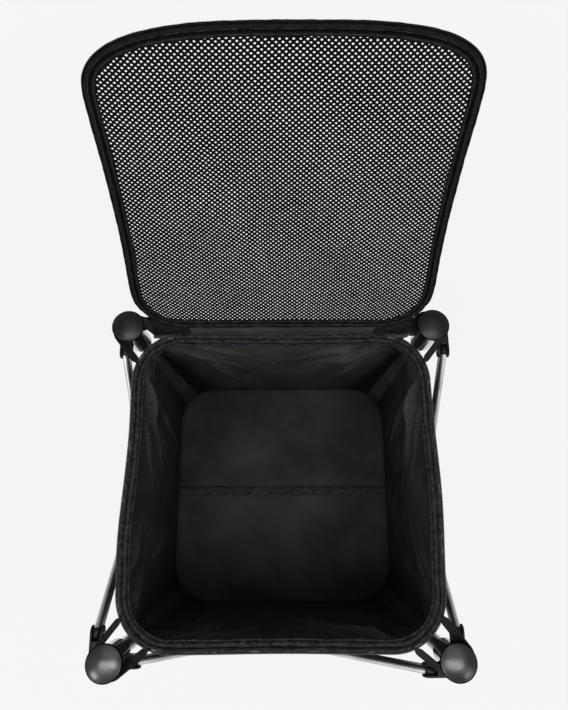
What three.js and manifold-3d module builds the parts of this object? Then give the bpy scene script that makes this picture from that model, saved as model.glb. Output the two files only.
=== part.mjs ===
// Folding ball cart: four castor legs joined by scissor bars, with a soft square bag
// slung between them and a zipped mesh lid that leans open at the back.
// Millimetres, +Z up, +X to the right, +Y to the back. The front faces -Y.

import * as THREE from 'three';
import { mergeGeometries, mergeVertices } from 'three/addons/utils/BufferGeometryUtils.js';
import Module from 'manifold-3d';

const wasm = await Module();
wasm.setup();

// Driving dimensions
const capRingHeight = 872;
const rimDrop = 15;
const bagWidth = 428;
const bagToLeg = 8.5;
const bagDepth = 330;
const bagTaper = 12;
const barSlope = THREE.MathUtils.degToRad(41.9);
const lidLean = THREE.MathUtils.degToRad(27.6);

// Clearances and the overrun of every cut
const gap = 0.3;
const overrun = 5;
const mergeDistance = 0.0001;

// Legs
const tubeDiameter = 22;
const tubeWall = 1.4;
const sleeveDiameter = 29;
const sleeveReach = 54;
const capDiameter = 47;
const capCrown = 12;
const capEdge = 3.5;
const capSkirt = 7;
const plugFlange = 27;
const plugFlangeHeight = 6;
const plugDepth = 34;

// Pivots of the scissor bars, from the leg's axis
const pivotReach = 30;
const innerPlane = 5.5;
const outerPlane = 16.5;
const sideOffset = 5;
const pinDiameter = 6;
const rivetHeadDiameter = 11;
const rivetHeadHeight = 1.8;

// Flat-oval bars
const barThickness = 9.6;
const barHeight = 19;
const barWall = 1.5;

// Brackets
const earThickness = 3;
const earRadius = 8.6;
const collarWall = 4;
const bracketHeight = 27;
const sliderHeight = 38;
const clevisHeight = 15;

// Castors
const wheelDiameter = 50;
const wheelWidth = 19;
const wheelRound = 2;
const wheelLand = 6;
const wheelSegments = 18;
const ovalSegments = 3;
const hubDiameter = 21;
const hubRecess = 3;
const castorTrail = 17;
const axleDiameter = 7;
const forkEar = 3.2;
const forkEarRadius = 9;
const forkCrownDiameter = 30;
const forkCrownHeight = 9;
const forkCrownClearance = 4;
const stemDiameter = 10;
const stemLength = 30;
const castorPlay = 1.2;
const pedalReach = 37;
const pedalRise = 22.5;
const pedalThickness = 4;
const pedalWidth = 15;
const pedalLength = 25;
const pedalPinDiameter = 5;
const pedalClearance = 2.5;

// Bag
const bagCornerRadius = 70;
const fabricThickness = 3;
const rimHeight = 24;
const rimThickness = 13;
const floorThickness = 4;

// Straps that hang the bag from the sleeves
const strapWidth = 19;
const strapThickness = 2;
const strapFall = 7;
const strapSpread = THREE.MathUtils.degToRad(21);

// Lid
const lidToBag = 9;
const lidLength = 405;
const lidCornerRadius = 55;
const lidBulge = 10;
const lidBorder = 15;
const lidThickness = 5;
const meshThickness = 1.4;
const meshOverlap = 5;
const hingeTapeWidth = 12;
const hingeTapeInset = 55;
const hingeTapeThickness = 1.6;
const netPitch = 37;
const netStrand = 7;
const zipSliderLength = 11;
const zipSliderWidth = 8;
const zipSliderHeight = 3.2;
const zipEndInset = 7;
const pullLength = 24;
const pullWidth = 7;
const pullThickness = 1.6;

// Derived places
const legSpacing = bagWidth + 2 * bagToLeg;
const lidWidth = bagWidth - 2 * lidToBag;
const hingeTapeLength = bagWidth - 2 * hingeTapeInset;
const half = legSpacing / 2;
const rimZ = capRingHeight - rimDrop;
const bagHalf = bagWidth / 2;
const strapTop = capRingHeight - capSkirt - gap;
const bracketTop = strapTop - strapWidth - gap;
const topPivotZ = bracketTop - collarWall - clevisHeight / 2;
const pivotSpan = legSpacing - 2 * pivotReach;
const barPitch = pivotSpan / Math.cos(barSlope);
const sliderPivotZ = topPivotZ - pivotSpan * Math.tan(barSlope);
const tubeRadius = tubeDiameter / 2;
const boreRadius = tubeRadius - tubeWall;
const sleeveRadius = sleeveDiameter / 2;
const wheelRadius = wheelDiameter / 2;
const forkTopZ = wheelDiameter + forkCrownClearance + forkCrownHeight;
const tubeFootZ = forkTopZ + gap + plugFlangeHeight + gap;
const clevisGap = barThickness + 2 * gap;

const corners = ['front_left', 'front_right', 'back_right', 'back_left'];
const sides = ['front', 'right', 'back', 'left'];

const finishes = {
  aluminium: { color: '#c9cac8', roughness: 0.38, metalness: 1 },
  polished: { color: '#dcdddc', roughness: 0.12, metalness: 1 },
  plastic: { color: '#1c1c1d', roughness: 0.45, metalness: 0 },
  wheel: { color: '#29292b', roughness: 0.6, metalness: 0 },
  fabric: { color: '#1d1d1e', roughness: 0.9, metalness: 0 },
  binding: { color: '#2a2a2c', roughness: 0.85, metalness: 0 },
  zinc: { color: '#a9abad', roughness: 0.3, metalness: 1 },
};

// A named mesh with a material of its own.
function part(name, geometry, finish) {
  const mesh = new THREE.Mesh(geometry, new THREE.MeshStandardMaterial(finishes[finish]));
  mesh.name = name;
  return mesh;
}

// A closed geometry as a solid for cuts and joins.
function solid(geometry) {
  const bare = geometry.clone();
  bare.deleteAttribute('normal');
  bare.deleteAttribute('uv');
  const merged = mergeVertices(bare, mergeDistance);
  return new wasm.Manifold(new wasm.Mesh({
    numProp: 3,
    vertProperties: new Float32Array(merged.attributes.position.array),
    triVerts: new Uint32Array(merged.index.array),
  }));
}

// The finished solid as a geometry again.
function geometryOf(manifold) {
  const mesh = manifold.getMesh();
  const geometry = new THREE.BufferGeometry();
  geometry.setAttribute('position', new THREE.BufferAttribute(mesh.vertProperties, 3));
  geometry.setIndex(new THREE.BufferAttribute(mesh.triVerts, 1));
  geometry.computeVertexNormals();
  return geometry;
}

// An upright cylinder from z0 to z1 about (x, y).
function column(radius, z0, z1, x = 0, y = 0, segments = 16) {
  const geometry = new THREE.CylinderGeometry(radius, radius, z1 - z0, segments);
  geometry.rotateX(Math.PI / 2);
  geometry.translate(x, y, (z0 + z1) / 2);
  return geometry;
}

// A cylinder along Y from y0 to y1 about (x, z).
function pinAlongY(radius, y0, y1, x, z, segments = 8) {
  const geometry = new THREE.CylinderGeometry(radius, radius, y1 - y0, segments);
  geometry.translate(x, (y0 + y1) / 2, z);
  return geometry;
}

// A box between two corners.
function block(x0, x1, y0, y1, z0, z1) {
  const geometry = new THREE.BoxGeometry(x1 - x0, y1 - y0, z1 - z0);
  geometry.translate((x0 + x1) / 2, (y0 + y1) / 2, (z0 + z1) / 2);
  return geometry;
}

// A solid of revolution about Z, from points given as [radius, height].
function turned(points, segments = 16) {
  const profile = points.map(([r, z]) => new THREE.Vector2(r, z));
  const geometry = new THREE.LatheGeometry(profile, segments);
  geometry.rotateX(Math.PI / 2);
  return geometry;
}

// A tube about Z as a closed profile.
function sleeve(outer, inner, z0, z1, segments = 16) {
  return turned([[inner, z0], [outer, z0], [outer, z1], [inner, z1], [inner, z0]], segments);
}

// A plate in the XZ plane between y0 and y1: two round ends joined by their tangents.
function link(x0, z0, r0, x1, z1, r1, y0, y1, steps = 4) {
  const run = Math.hypot(x1 - x0, z1 - z0);
  const heading = Math.atan2(z1 - z0, x1 - x0);
  const flare = Math.acos((r0 - r1) / run);
  const shape = new THREE.Shape();
  const points = [];
  for (let i = 0; i <= steps; i += 1) {
    const angle = heading + flare + (i / steps) * (2 * Math.PI - 2 * flare);
    points.push(new THREE.Vector2(x0 + r0 * Math.cos(angle), z0 + r0 * Math.sin(angle)));
  }
  for (let i = 0; i <= steps; i += 1) {
    const angle = heading - flare + (i / steps) * 2 * flare;
    points.push(new THREE.Vector2(x1 + r1 * Math.cos(angle), z1 + r1 * Math.sin(angle)));
  }
  shape.setFromPoints(points);
  const geometry = new THREE.ExtrudeGeometry(shape, { depth: y1 - y0, bevelEnabled: false });
  geometry.rotateX(Math.PI / 2);
  geometry.translate(0, y1, 0);
  return geometry;
}

// A rounded square's outline about the origin, counter-clockwise.
function roundedSquare(halfSize, radius, steps = 6) {
  const points = [];
  for (let corner = 0; corner < 4; corner += 1) {
    for (let i = 0; i <= steps; i += 1) {
      const angle = (corner + i / steps) * Math.PI / 2;
      const turn = (corner + 1 / 2) * Math.PI / 2;
      const centre = (halfSize - radius) * Math.SQRT2;
      points.push(new THREE.Vector2(
        centre * Math.cos(turn) + radius * Math.cos(angle),
        centre * Math.sin(turn) + radius * Math.sin(angle),
      ));
    }
  }
  return points;
}

// A closed solid between a lower and an upper outline with equal point counts.
function loft(lower, z0, upper, z1) {
  const count = lower.length;
  const positions = [0, 0, z0, 0, 0, z1];
  lower.forEach((p) => positions.push(p.x, p.y, z0));
  upper.forEach((p) => positions.push(p.x, p.y, z1));
  const index = [];
  for (let i = 0; i < count; i += 1) {
    const next = (i + 1) % count;
    const a = 2 + i;
    const b = 2 + next;
    const c = 2 + count + i;
    const d = 2 + count + next;
    index.push(0, b, a, 1, c, d, a, b, d, a, d, c);
  }
  const geometry = new THREE.BufferGeometry();
  geometry.setAttribute('position', new THREE.Float32BufferAttribute(positions, 3));
  geometry.setIndex(index);
  return geometry;
}

// A closed strip with four corners at each station, listed station by station.
function ribbon(positions) {
  const stations = positions.length / 12;
  const index = [0, 1, 2, 0, 2, 3];
  for (let i = 0; i < stations - 1; i += 1) {
    for (let side = 0; side < 4; side += 1) {
      const a = 4 * i + side;
      const b = 4 * i + (side + 1) % 4;
      index.push(a, a + 4, b, b, a + 4, b + 4);
    }
  }
  const last = 4 * (stations - 1);
  index.push(last, last + 2, last + 1, last, last + 3, last + 2);
  const geometry = new THREE.BufferGeometry();
  geometry.setAttribute('position', new THREE.Float32BufferAttribute(positions, 3));
  geometry.setIndex(index);
  return geometry;
}

// The tube, its polished sleeve, cap and foot plug, all about the leg's axis.
function legTube() {
  return sleeve(tubeRadius, boreRadius, tubeFootZ, capRingHeight - capSkirt);
}

function legSleeve() {
  const top = capRingHeight - capSkirt;
  return sleeve(sleeveRadius, tubeRadius + gap, capRingHeight - sleeveReach, top);
}

function legCap() {
  const rim = capDiameter / 2;
  const crownSteps = 4;
  const points = [[0, capRingHeight - capSkirt + gap], [rim - capEdge, capRingHeight - capSkirt + gap]];
  points.push([rim, capRingHeight - capEdge]);
  points.push([rim, capRingHeight]);
  for (let i = 1; i < crownSteps; i += 1) {
    const angle = (i / crownSteps) * Math.PI / 2;
    const drop = capCrown * (1 - Math.sin(angle));
    points.push([rim * Math.cos(angle), capRingHeight + capCrown - drop]);
  }
  points.push([0, capRingHeight + capCrown]);
  return turned(points, 20);
}

function footPlug() {
  const flangeFoot = forkTopZ + gap;
  const flangeTop = tubeFootZ - gap;
  const bore = stemDiameter / 2 + gap;
  const body = boreRadius - gap;
  return turned([
    [bore, flangeFoot], [plugFlange / 2, flangeFoot], [plugFlange / 2, flangeTop],
    [body, flangeTop], [body, tubeFootZ + plugDepth], [bore, tubeFootZ + plugDepth], [bore, flangeFoot],
  ], 12);
}

// One clevis beside the leg's axis: a web, two ears and the pin between them.
// It reaches along +X, with the bar's middle plane at y = -plane, and its web runs in
// as far as the leg's own radius, so that it stands on the collar.
function clevis(radius, plane, z) {
  const near = -(plane - clevisGap / 2);
  const far = -(plane + clevisGap / 2);
  const webEnd = pivotReach - barHeight / 2 - gap;
  const webStart = collarWall;
  const root = Math.max(near + earThickness, -radius);
  const web = block(webStart, webEnd, far - earThickness, root, z - clevisHeight / 2, z + clevisHeight / 2);
  const innerEar = link(webStart, z, clevisHeight / 2, pivotReach, z, earRadius, near, near + earThickness);
  const outerEar = link(webStart, z, clevisHeight / 2, pivotReach, z, earRadius, far - earThickness, far);
  const outerHead = far - earThickness - rivetHeadHeight;
  const innerHead = near + earThickness + rivetHeadHeight;
  const pin = pinAlongY(pinDiameter / 2, outerHead, innerHead, pivotReach, z);
  const headOut = pinAlongY(rivetHeadDiameter / 2, outerHead, far - earThickness / 2, pivotReach, z);
  const headIn = pinAlongY(rivetHeadDiameter / 2, near + earThickness / 2, innerHead, pivotReach, z);
  return solid(web).add(solid(innerEar)).add(solid(outerEar)).add(solid(pin))
    .add(solid(headOut)).add(solid(headIn));
}

// Mirrors a solid across the diagonal y = x, so that it serves the leg's other side.
function acrossDiagonal(manifold) {
  return manifold.mirror([1, -1, 0]);
}

// A collar about the leg with a clevis along each side, at the planes given.
function bracket(radius, planeAlongX, planeAlongY, z, z0, z1) {
  const collar = solid(column(radius + collarWall, z0, z1));
  const bore = solid(column(radius + gap, z0 - overrun, z1 + overrun));
  return collar.add(clevis(radius, planeAlongX, z))
    .add(acrossDiagonal(clevis(radius, planeAlongY, z))).subtract(bore);
}

// How much further out the bars of side k lie: those on the left and right stand wider.
function planeOffset(k) {
  return (k % 2) * sideOffset;
}

// Corner k holds a bar of side k along its X and one of the side before it along its Y.
function topBracket(k) {
  const foot = bracketTop - bracketHeight;
  return geometryOf(bracket(sleeveRadius, innerPlane + planeOffset(k), outerPlane + planeOffset(k + 1),
    topPivotZ, foot, bracketTop));
}

function slider(k) {
  const z0 = sliderPivotZ - sliderHeight / 2;
  return geometryOf(bracket(tubeRadius, outerPlane + planeOffset(k), innerPlane + planeOffset(k + 1),
    sliderPivotZ, z0, z0 + sliderHeight));
}

// A flat-oval tube along X between its two pivots at x = 0 and x = barPitch.
function barBlank() {
  const oval = (height, thickness, x0, x1) => {
    const shape = new THREE.Shape();
    const r = thickness / 2;
    const straight = height / 2 - r;
    shape.absarc(0, straight, r, 0, Math.PI, false);
    shape.absarc(0, -straight, r, Math.PI, 2 * Math.PI, false);
    const settings = { depth: x1 - x0, bevelEnabled: false, curveSegments: ovalSegments };
    const geometry = new THREE.ExtrudeGeometry(shape, settings);
    geometry.rotateY(Math.PI / 2);
    geometry.rotateX(Math.PI / 2);
    geometry.translate(x0, 0, 0);
    return solid(geometry);
  };
  const end = barHeight / 2;
  const outer = oval(barHeight, barThickness, -end - overrun, barPitch + end + overrun);
  const inner = oval(barHeight - 2 * barWall, barThickness - 2 * barWall,
    -end - 2 * overrun, barPitch + end + 2 * overrun);
  const plate = solid(link(0, 0, end, barPitch, 0, end, -barThickness, barThickness));
  return outer.intersect(plate).subtract(inner);
}

function barHole(x) {
  return solid(pinAlongY(pinDiameter / 2 + gap, -barThickness, barThickness, x, 0));
}

// The bar in the inner plane carries the middle pin; the outer one turns on it.
function innerBar() {
  const middle = barPitch / 2;
  const reach = outerPlane - innerPlane;
  const outerFace = -(reach + barThickness / 2);
  const pin = solid(pinAlongY(pinDiameter / 2, outerFace - gap - rivetHeadHeight,
    barThickness / 2 + rivetHeadHeight, middle, 0));
  const headOut = solid(pinAlongY(rivetHeadDiameter / 2, outerFace - gap - rivetHeadHeight,
    outerFace - gap, middle, 0));
  const headIn = solid(pinAlongY(rivetHeadDiameter / 2, barThickness / 2 - barWall,
    barThickness / 2 + rivetHeadHeight, middle, 0));
  const spacer = solid(pinAlongY(rivetHeadDiameter / 2, -(reach - barThickness / 2) + gap,
    -barThickness / 2 + barWall, middle, 0));
  const drilled = barBlank().subtract(barHole(0)).subtract(barHole(barPitch));
  return geometryOf(drilled.add(pin).add(headOut).add(headIn).add(spacer));
}

function outerBar() {
  const ends = barBlank().subtract(barHole(0)).subtract(barHole(barPitch));
  return geometryOf(ends.subtract(barHole(barPitch / 2)));
}

// Castor pieces about the stem's axis, with the wheel trailing towards +Y.
function castorFork(braked) {
  const earIn = wheelWidth / 2 + castorPlay;
  const earOut = earIn + forkEar;
  const crownFoot = forkTopZ - forkCrownHeight;
  const crown = solid(column(forkCrownDiameter / 2, crownFoot, forkTopZ));
  const bridge = solid(block(-earOut, earOut, -forkEarRadius, forkEarRadius, crownFoot, forkTopZ));
  const stem = solid(column(stemDiameter / 2, crownFoot, forkTopZ + stemLength));
  const cheek = (x0, x1) => {
    const shoulderZ = forkTopZ - forkEarRadius;
    const arm = link(0, shoulderZ, forkEarRadius, castorTrail, wheelRadius, forkEarRadius, x0, x1);
    let plate = solid(arm);
    if (braked) {
      plate = plate.add(solid(link(0, forkTopZ - forkEarRadius, forkEarRadius,
        pedalReach, wheelRadius + pedalRise, forkEarRadius / 2, x0, x1)));
    }
    return plate;
  };
  const cheeks = cheek(-earOut, -earIn).add(cheek(earIn, earOut));
  const axle = solid(pinAlongY(axleDiameter / 2, -earOut - gap, earOut + gap, castorTrail, wheelRadius));
  let fork = cheeks.add(axle);
  if (braked) {
    const pedalHole = pinAlongY(pedalPinDiameter / 2 + gap, -earOut - overrun, earOut + overrun,
      pedalReach, wheelRadius + pedalRise);
    fork = fork.subtract(solid(pedalHole));
  }
  fork = fork.rotate([0, 0, 90]);
  return geometryOf(fork.add(crown).add(bridge).add(stem));
}

function castorWheel() {
  const w = wheelWidth / 2;
  const hub = hubDiameter / 2;
  const bore = axleDiameter / 2 + gap;
  const face = w - hubRecess;
  const geometry = turned([
    [bore, -w], [hub - hubRecess, -w], [hub, -face], [wheelRadius - wheelLand, -face],
    [wheelRadius - wheelRound, -w], [wheelRadius, -w + wheelRound],
    [wheelRadius, w - wheelRound], [wheelRadius - wheelRound, w],
    [wheelRadius - wheelLand, face], [hub, face], [hub - hubRecess, w], [bore, w], [bore, -w],
  ], wheelSegments);
  geometry.rotateY(Math.PI / 2);
  geometry.rotateX(Math.PI / wheelSegments);
  geometry.translate(0, castorTrail, wheelRadius);
  return geometry;
}

// The brake pedal: a tread plate on a barrel that turns between the fork's cheeks.
function brakePedal() {
  const earOut = wheelWidth / 2 + castorPlay + forkEar;
  const z = wheelRadius + pedalRise;
  const inside = wheelWidth / 2 + castorPlay - gap;
  const barrel = solid(pinAlongY(pedalPinDiameter / 2, -earOut, earOut, pedalReach, z));
  const hub = solid(pinAlongY(pedalPinDiameter / 2 + pedalClearance / 2, -inside, inside, pedalReach, z));
  const tread = solid(block(pedalReach, pedalReach + pedalLength,
    -pedalWidth / 2, pedalWidth / 2, z, z + pedalThickness));
  return geometryOf(barrel.add(hub).add(tread).rotate([0, 0, 90]));
}

// The whole bag wall: a tapered shell with a thick hem round the mouth.
function bagShell() {
  const mouth = (inset) => roundedSquare(bagHalf - inset, bagCornerRadius - inset);
  const foot = (inset) => roundedSquare(bagHalf - bagTaper - inset, bagCornerRadius - inset);
  const z0 = rimZ - bagDepth;
  const outer = solid(loft(foot(0), z0, mouth(0), rimZ));
  const inner = solid(loft(foot(fabricThickness), z0 - overrun, mouth(fabricThickness), rimZ + overrun));
  const hemOuter = solid(loft(mouth(0), rimZ - rimHeight, mouth(0), rimZ));
  const hemMouth = mouth(rimThickness);
  const hemInner = solid(loft(hemMouth, rimZ - rimHeight - overrun, hemMouth, rimZ + overrun));
  return outer.add(hemOuter).subtract(inner.intersect(hemInner.add(belowHem())));
}

// Everything under the hem, so that the hollow keeps its full width there.
function belowHem() {
  const belowFloor = rimZ - bagDepth - 2 * overrun;
  return solid(block(-bagWidth, bagWidth, -bagWidth, bagWidth, belowFloor, rimZ - rimHeight));
}

// Where the bag's straight walls end and its round corners begin.
const cornerLimit = bagHalf - bagCornerRadius;

function bagCorner(shell) {
  const cut = block(-bagWidth, -cornerLimit, -bagWidth, -cornerLimit, 0, capRingHeight);
  return geometryOf(shell.intersect(solid(cut)));
}

function bagWall(shell) {
  const edge = cornerLimit - gap;
  const cut = block(-edge, edge, -bagWidth, 0, 0, capRingHeight);
  return geometryOf(shell.intersect(solid(cut)));
}

// Half of the bag's floor, from the middle seam to the back wall.
function bagFloor() {
  const inset = fabricThickness + gap;
  const outline = roundedSquare(bagHalf - bagTaper - inset, bagCornerRadius - inset);
  const z0 = rimZ - bagDepth;
  const slab = solid(loft(outline, z0, outline, z0 + floorThickness));
  return geometryOf(slab.intersect(solid(block(-bagWidth, bagWidth, gap / 2, bagWidth, 0, capRingHeight))));
}

// A webbing loop round the sleeve, both ends sewn to the bag's corner.
function cornerStrap() {
  const reach = half * Math.SQRT2;
  const centre = cornerLimit * Math.SQRT2;
  const seat = bagCornerRadius + gap;
  const loop = sleeveRadius + gap;
  const clear = reach - sleeveRadius - collarWall;
  const steps = 10;
  const outline = (offset) => {
    const endX = centre + seat * Math.cos(strapSpread);
    const endY = seat * Math.sin(strapSpread);
    const dx = reach - endX;
    const distance = Math.hypot(dx, endY);
    const radius = loop + offset;
    const bearing = Math.atan2(endY, -dx);
    const tangent = bearing - Math.acos(radius / distance);
    const points = [];
    for (let i = 0; i <= steps; i += 1) {
      const angle = -tangent + (i / steps) * 2 * tangent;
      points.push(new THREE.Vector2(reach + radius * Math.cos(angle), radius * Math.sin(angle)));
    }
    const last = points[steps];
    const end = new THREE.Vector2(endX, endY + offset);
    const bend = last.clone().lerp(end, (last.x - clear) / (last.x - endX));
    points.push(bend, end);
    points.unshift(new THREE.Vector2(endX, -end.y), new THREE.Vector2(bend.x, -bend.y));
    return points;
  };
  const outer = outline(strapThickness);
  const inner = outline(0);
  const foot = (x) => strapTop - strapWidth - strapFall * Math.max(0, (clear - x) / (clear - centre - seat));
  const positions = [];
  outer.forEach((p, i) => {
    const z = foot(p.x);
    positions.push(p.x, p.y, z, p.x, p.y, z + strapWidth);
    positions.push(inner[i].x, inner[i].y, z + strapWidth, inner[i].x, inner[i].y, z);
  });
  const geometry = ribbon(positions);
  geometry.rotateZ(-3 * Math.PI / 4);
  return geometry;
}

// The lid lies in its own XY plane: hinge edge at y = 0, free edge at y = lidLength.
function lidOutline(inset, steps = 6) {
  const w = lidWidth / 2 - inset;
  const r = lidCornerRadius - inset;
  const near = inset;
  const far = lidLength - lidBulge - inset;
  const points = [];
  const arc = (cx, cy, from) => {
    for (let i = 0; i <= steps; i += 1) {
      const angle = from + (i / steps) * Math.PI / 2;
      points.push(new THREE.Vector2(cx + r * Math.cos(angle), cy + r * Math.sin(angle)));
    }
  };
  arc(-w + r, near + r, Math.PI);
  arc(w - r, near + r, 3 * Math.PI / 2);
  arc(w - r, far - r, 0);
  for (let i = 1; i < steps; i += 1) {
    const share = 1 - 2 * i / steps;
    points.push(new THREE.Vector2(share * (w - r), far + lidBulge * (1 - share * share)));
  }
  arc(-w + r, far - r, Math.PI / 2);
  return points;
}

function lidFrame() {
  const shape = new THREE.Shape(lidOutline(0));
  shape.holes.push(new THREE.Path(lidOutline(lidBorder)));
  const ring = solid(new THREE.ExtrudeGeometry(shape, { depth: lidThickness, bevelEnabled: false }));
  const pocket = new THREE.Shape(lidOutline(lidBorder - meshOverlap));
  const settings = { depth: meshThickness + 2 * gap, bevelEnabled: false };
  const groove = solid(new THREE.ExtrudeGeometry(pocket, settings));
  return geometryOf(ring.subtract(groove.translate([0, 0, (lidThickness - meshThickness) / 2 - gap])));
}

// The net: diamond gaps in staggered rows between strands, within a plain margin.
function lidMesh() {
  const edge = lidBorder - meshOverlap + gap;
  const shape = new THREE.Shape(lidOutline(edge));
  const sheet = new THREE.ExtrudeGeometry(shape, { depth: meshThickness, bevelEnabled: false });
  const limitX = lidWidth / 2 - lidBorder - netStrand;
  const near = lidBorder + netStrand;
  const far = lidLength - lidBulge - lidBorder - netStrand;
  const round = lidCornerRadius - lidBorder;
  const inside = (x, y) => {
    const dx = Math.max(Math.abs(x) - (limitX - round), 0);
    const dy = Math.max(near + round - y, y - (far - round), 0);
    return Math.hypot(dx, dy) < round;
  };
  const reach = (netPitch - netStrand * Math.SQRT2) / 2;
  const rows = 2 * Math.floor(lidLength / netPitch);
  const columns = Math.ceil(lidWidth / netPitch / 2);
  const gaps = [];
  for (let row = 0; row <= rows; row += 1) {
    const y = (near + far) / 2 + (row - rows / 2) * netPitch / 2;
    const shift = (row % 2) * netPitch / 2;
    for (let column = -columns; column <= columns; column += 1) {
      const x = column * netPitch + shift;
      const tips = [[x - reach, y], [x + reach, y], [x, y - reach], [x, y + reach]];
      if (tips.every(([u, v]) => inside(u, v))) {
        gaps.push(diamond(reach, x, y));
      }
    }
  }
  const net = solid(sheet).subtract(solid(mergeGeometries(gaps)));
  return geometryOf(net.translate([0, 0, (lidThickness - meshThickness) / 2]));
}

// The four-sided prism that one gap of the net is cut with.
function diamond(reach, x, y) {
  const geometry = new THREE.CylinderGeometry(reach, reach, meshThickness + 2 * overrun, 4);
  geometry.rotateX(Math.PI / 2);
  geometry.translate(x, y, meshThickness / 2);
  return geometry;
}

// The zip's slider with its pull, parked at the left end of the hinge tape.
function zipSlider() {
  const z = rimZ + gap;
  const body = block(-zipSliderLength / 2, zipSliderLength / 2, -zipSliderWidth / 2, zipSliderWidth / 2,
    z, z + zipSliderHeight);
  const tab = link(0, 0, pullWidth / 2, -pullLength, 0, pullWidth / 3, 0, pullThickness);
  const eye = pinAlongY(pullWidth / 6, -overrun, overrun, -pullLength, 0);
  const pull = solid(tab).subtract(solid(eye)).rotate([90, 0, 0]).translate([0, 0, z + pullThickness]);
  return geometryOf(solid(body).add(pull));
}

// The strip of tape between the back rim and the lid, in the lid's plane.
function hingeTape() {
  return block(-hingeTapeLength / 2, hingeTapeLength / 2, gap, hingeTapeWidth, -hingeTapeThickness, 0);
}

const cart = new THREE.Group();
const shell = bagShell();

corners.forEach((name, k) => {
  const corner = new THREE.Group();
  corner.rotation.z = k * Math.PI / 2;
  const leg = new THREE.Group();
  leg.position.set(-half, -half, 0);
  leg.add(part(`leg_tube_${name}`, legTube(), 'aluminium'));
  leg.add(part(`leg_sleeve_${name}`, legSleeve(), 'polished'));
  leg.add(part(`leg_cap_${name}`, legCap(), 'plastic'));
  leg.add(part(`foot_plug_${name}`, footPlug(), 'plastic'));
  leg.add(part(`top_bracket_${name}`, topBracket(k), 'plastic'));
  leg.add(part(`slider_${name}`, slider(k), 'plastic'));
  corner.add(leg);
  corner.add(part(`bag_corner_${name}`, bagCorner(shell), 'fabric'));
  corner.add(part(`bag_strap_${name}`, cornerStrap(), 'fabric'));
  cart.add(corner);
});

sides.forEach((name, k) => {
  const side = new THREE.Group();
  side.rotation.z = k * Math.PI / 2;
  const inner = part(`bar_inner_${name}`, innerBar(), 'aluminium');
  inner.position.set(-half + pivotReach, -half - innerPlane - planeOffset(k), topPivotZ);
  inner.rotation.y = barSlope;
  const outer = part(`bar_outer_${name}`, outerBar(), 'aluminium');
  outer.position.set(-half + pivotReach, -half - outerPlane - planeOffset(k), sliderPivotZ);
  outer.rotation.y = -barSlope;
  side.add(inner, outer, part(`bag_wall_${name}`, bagWall(shell), 'fabric'));
  cart.add(side);
});

corners.forEach((name) => {
  const castor = new THREE.Group();
  const braked = name.startsWith('front');
  castor.position.set(name.endsWith('left') ? -half : half, name.startsWith('front') ? -half : half, 0);
  castor.add(part(`castor_fork_${name}`, castorFork(braked), 'plastic'));
  castor.add(part(`castor_wheel_${name}`, castorWheel(), 'wheel'));
  if (braked) {
    castor.add(part(`brake_pedal_${name}`, brakePedal(), 'plastic'));
  }
  cart.add(castor);
});

const floorBack = part('bag_floor_back', bagFloor(), 'fabric');
const floorFront = part('bag_floor_front', bagFloor(), 'fabric');
floorFront.rotation.z = Math.PI;
cart.add(floorBack, floorFront);

// The lid turns about the rim's outer edge; its thickness lies behind the hinge's plane,
// so that it comes to lie on the rim when it is closed.
const lid = new THREE.Group();
lid.position.set(0, bagHalf - gap, rimZ + gap);
lid.rotation.x = Math.PI / 2 - lidLean;
const panel = new THREE.Group();
panel.position.set(0, hingeTapeWidth + gap, -lidThickness);
panel.add(part('lid_frame', lidFrame(), 'binding'), part('lid_mesh', lidMesh(), 'fabric'));
lid.add(panel, part('lid_hinge_tape', hingeTape(), 'binding'));
cart.add(lid);

const zip = part('zip_slider', zipSlider(), 'zinc');
zip.position.set(-hingeTapeLength / 2 - zipSliderLength / 2 - gap, bagHalf - zipEndInset, 0);
cart.add(zip);

// The origin is on the ground, under the middle of the cart's bounding box.
const bounds = new THREE.Box3().setFromObject(cart);
const middle = bounds.getCenter(new THREE.Vector3());
cart.position.set(-middle.x, -middle.y, -bounds.min.z);

const model = new THREE.Group();
model.add(cart);

export default model;
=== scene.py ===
import math

import bmesh
import bpy
import numpy as np
from mathutils import Matrix, Vector


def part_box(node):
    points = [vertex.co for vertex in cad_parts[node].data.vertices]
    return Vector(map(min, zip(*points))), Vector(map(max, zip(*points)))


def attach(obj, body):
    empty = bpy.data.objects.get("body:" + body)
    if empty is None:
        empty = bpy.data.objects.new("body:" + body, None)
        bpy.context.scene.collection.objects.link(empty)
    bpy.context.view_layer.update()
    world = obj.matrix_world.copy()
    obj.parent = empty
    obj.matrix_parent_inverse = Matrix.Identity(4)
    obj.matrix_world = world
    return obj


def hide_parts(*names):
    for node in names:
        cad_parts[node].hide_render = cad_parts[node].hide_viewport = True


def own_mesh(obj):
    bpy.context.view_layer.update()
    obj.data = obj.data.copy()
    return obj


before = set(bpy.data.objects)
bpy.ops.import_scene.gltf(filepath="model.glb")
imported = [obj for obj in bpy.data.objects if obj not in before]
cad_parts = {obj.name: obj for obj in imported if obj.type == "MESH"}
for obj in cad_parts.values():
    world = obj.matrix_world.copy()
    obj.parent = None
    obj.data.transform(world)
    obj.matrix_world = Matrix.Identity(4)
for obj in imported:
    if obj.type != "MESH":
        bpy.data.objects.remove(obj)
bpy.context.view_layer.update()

# A folding cart: four castor legs, crossing flat-oval bars, a black cloth bag and its mesh lid.
# Shapes are worked out in millimetres from the ground under the middle of the four legs, and
# turned to the frame's metres when a piece is made.

MM = 0.001
TURN = 2 * math.pi
QUARTERS = ((1, 0), (0, 1), (-1, 0), (0, -1))
CORNER_SIGNS = ((-1, -1), (1, -1), (1, 1), (-1, 1))
CORNERS = ("front_left", "front_right", "back_right", "back_left")
SIDES = ("front", "right", "back", "left")


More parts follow.
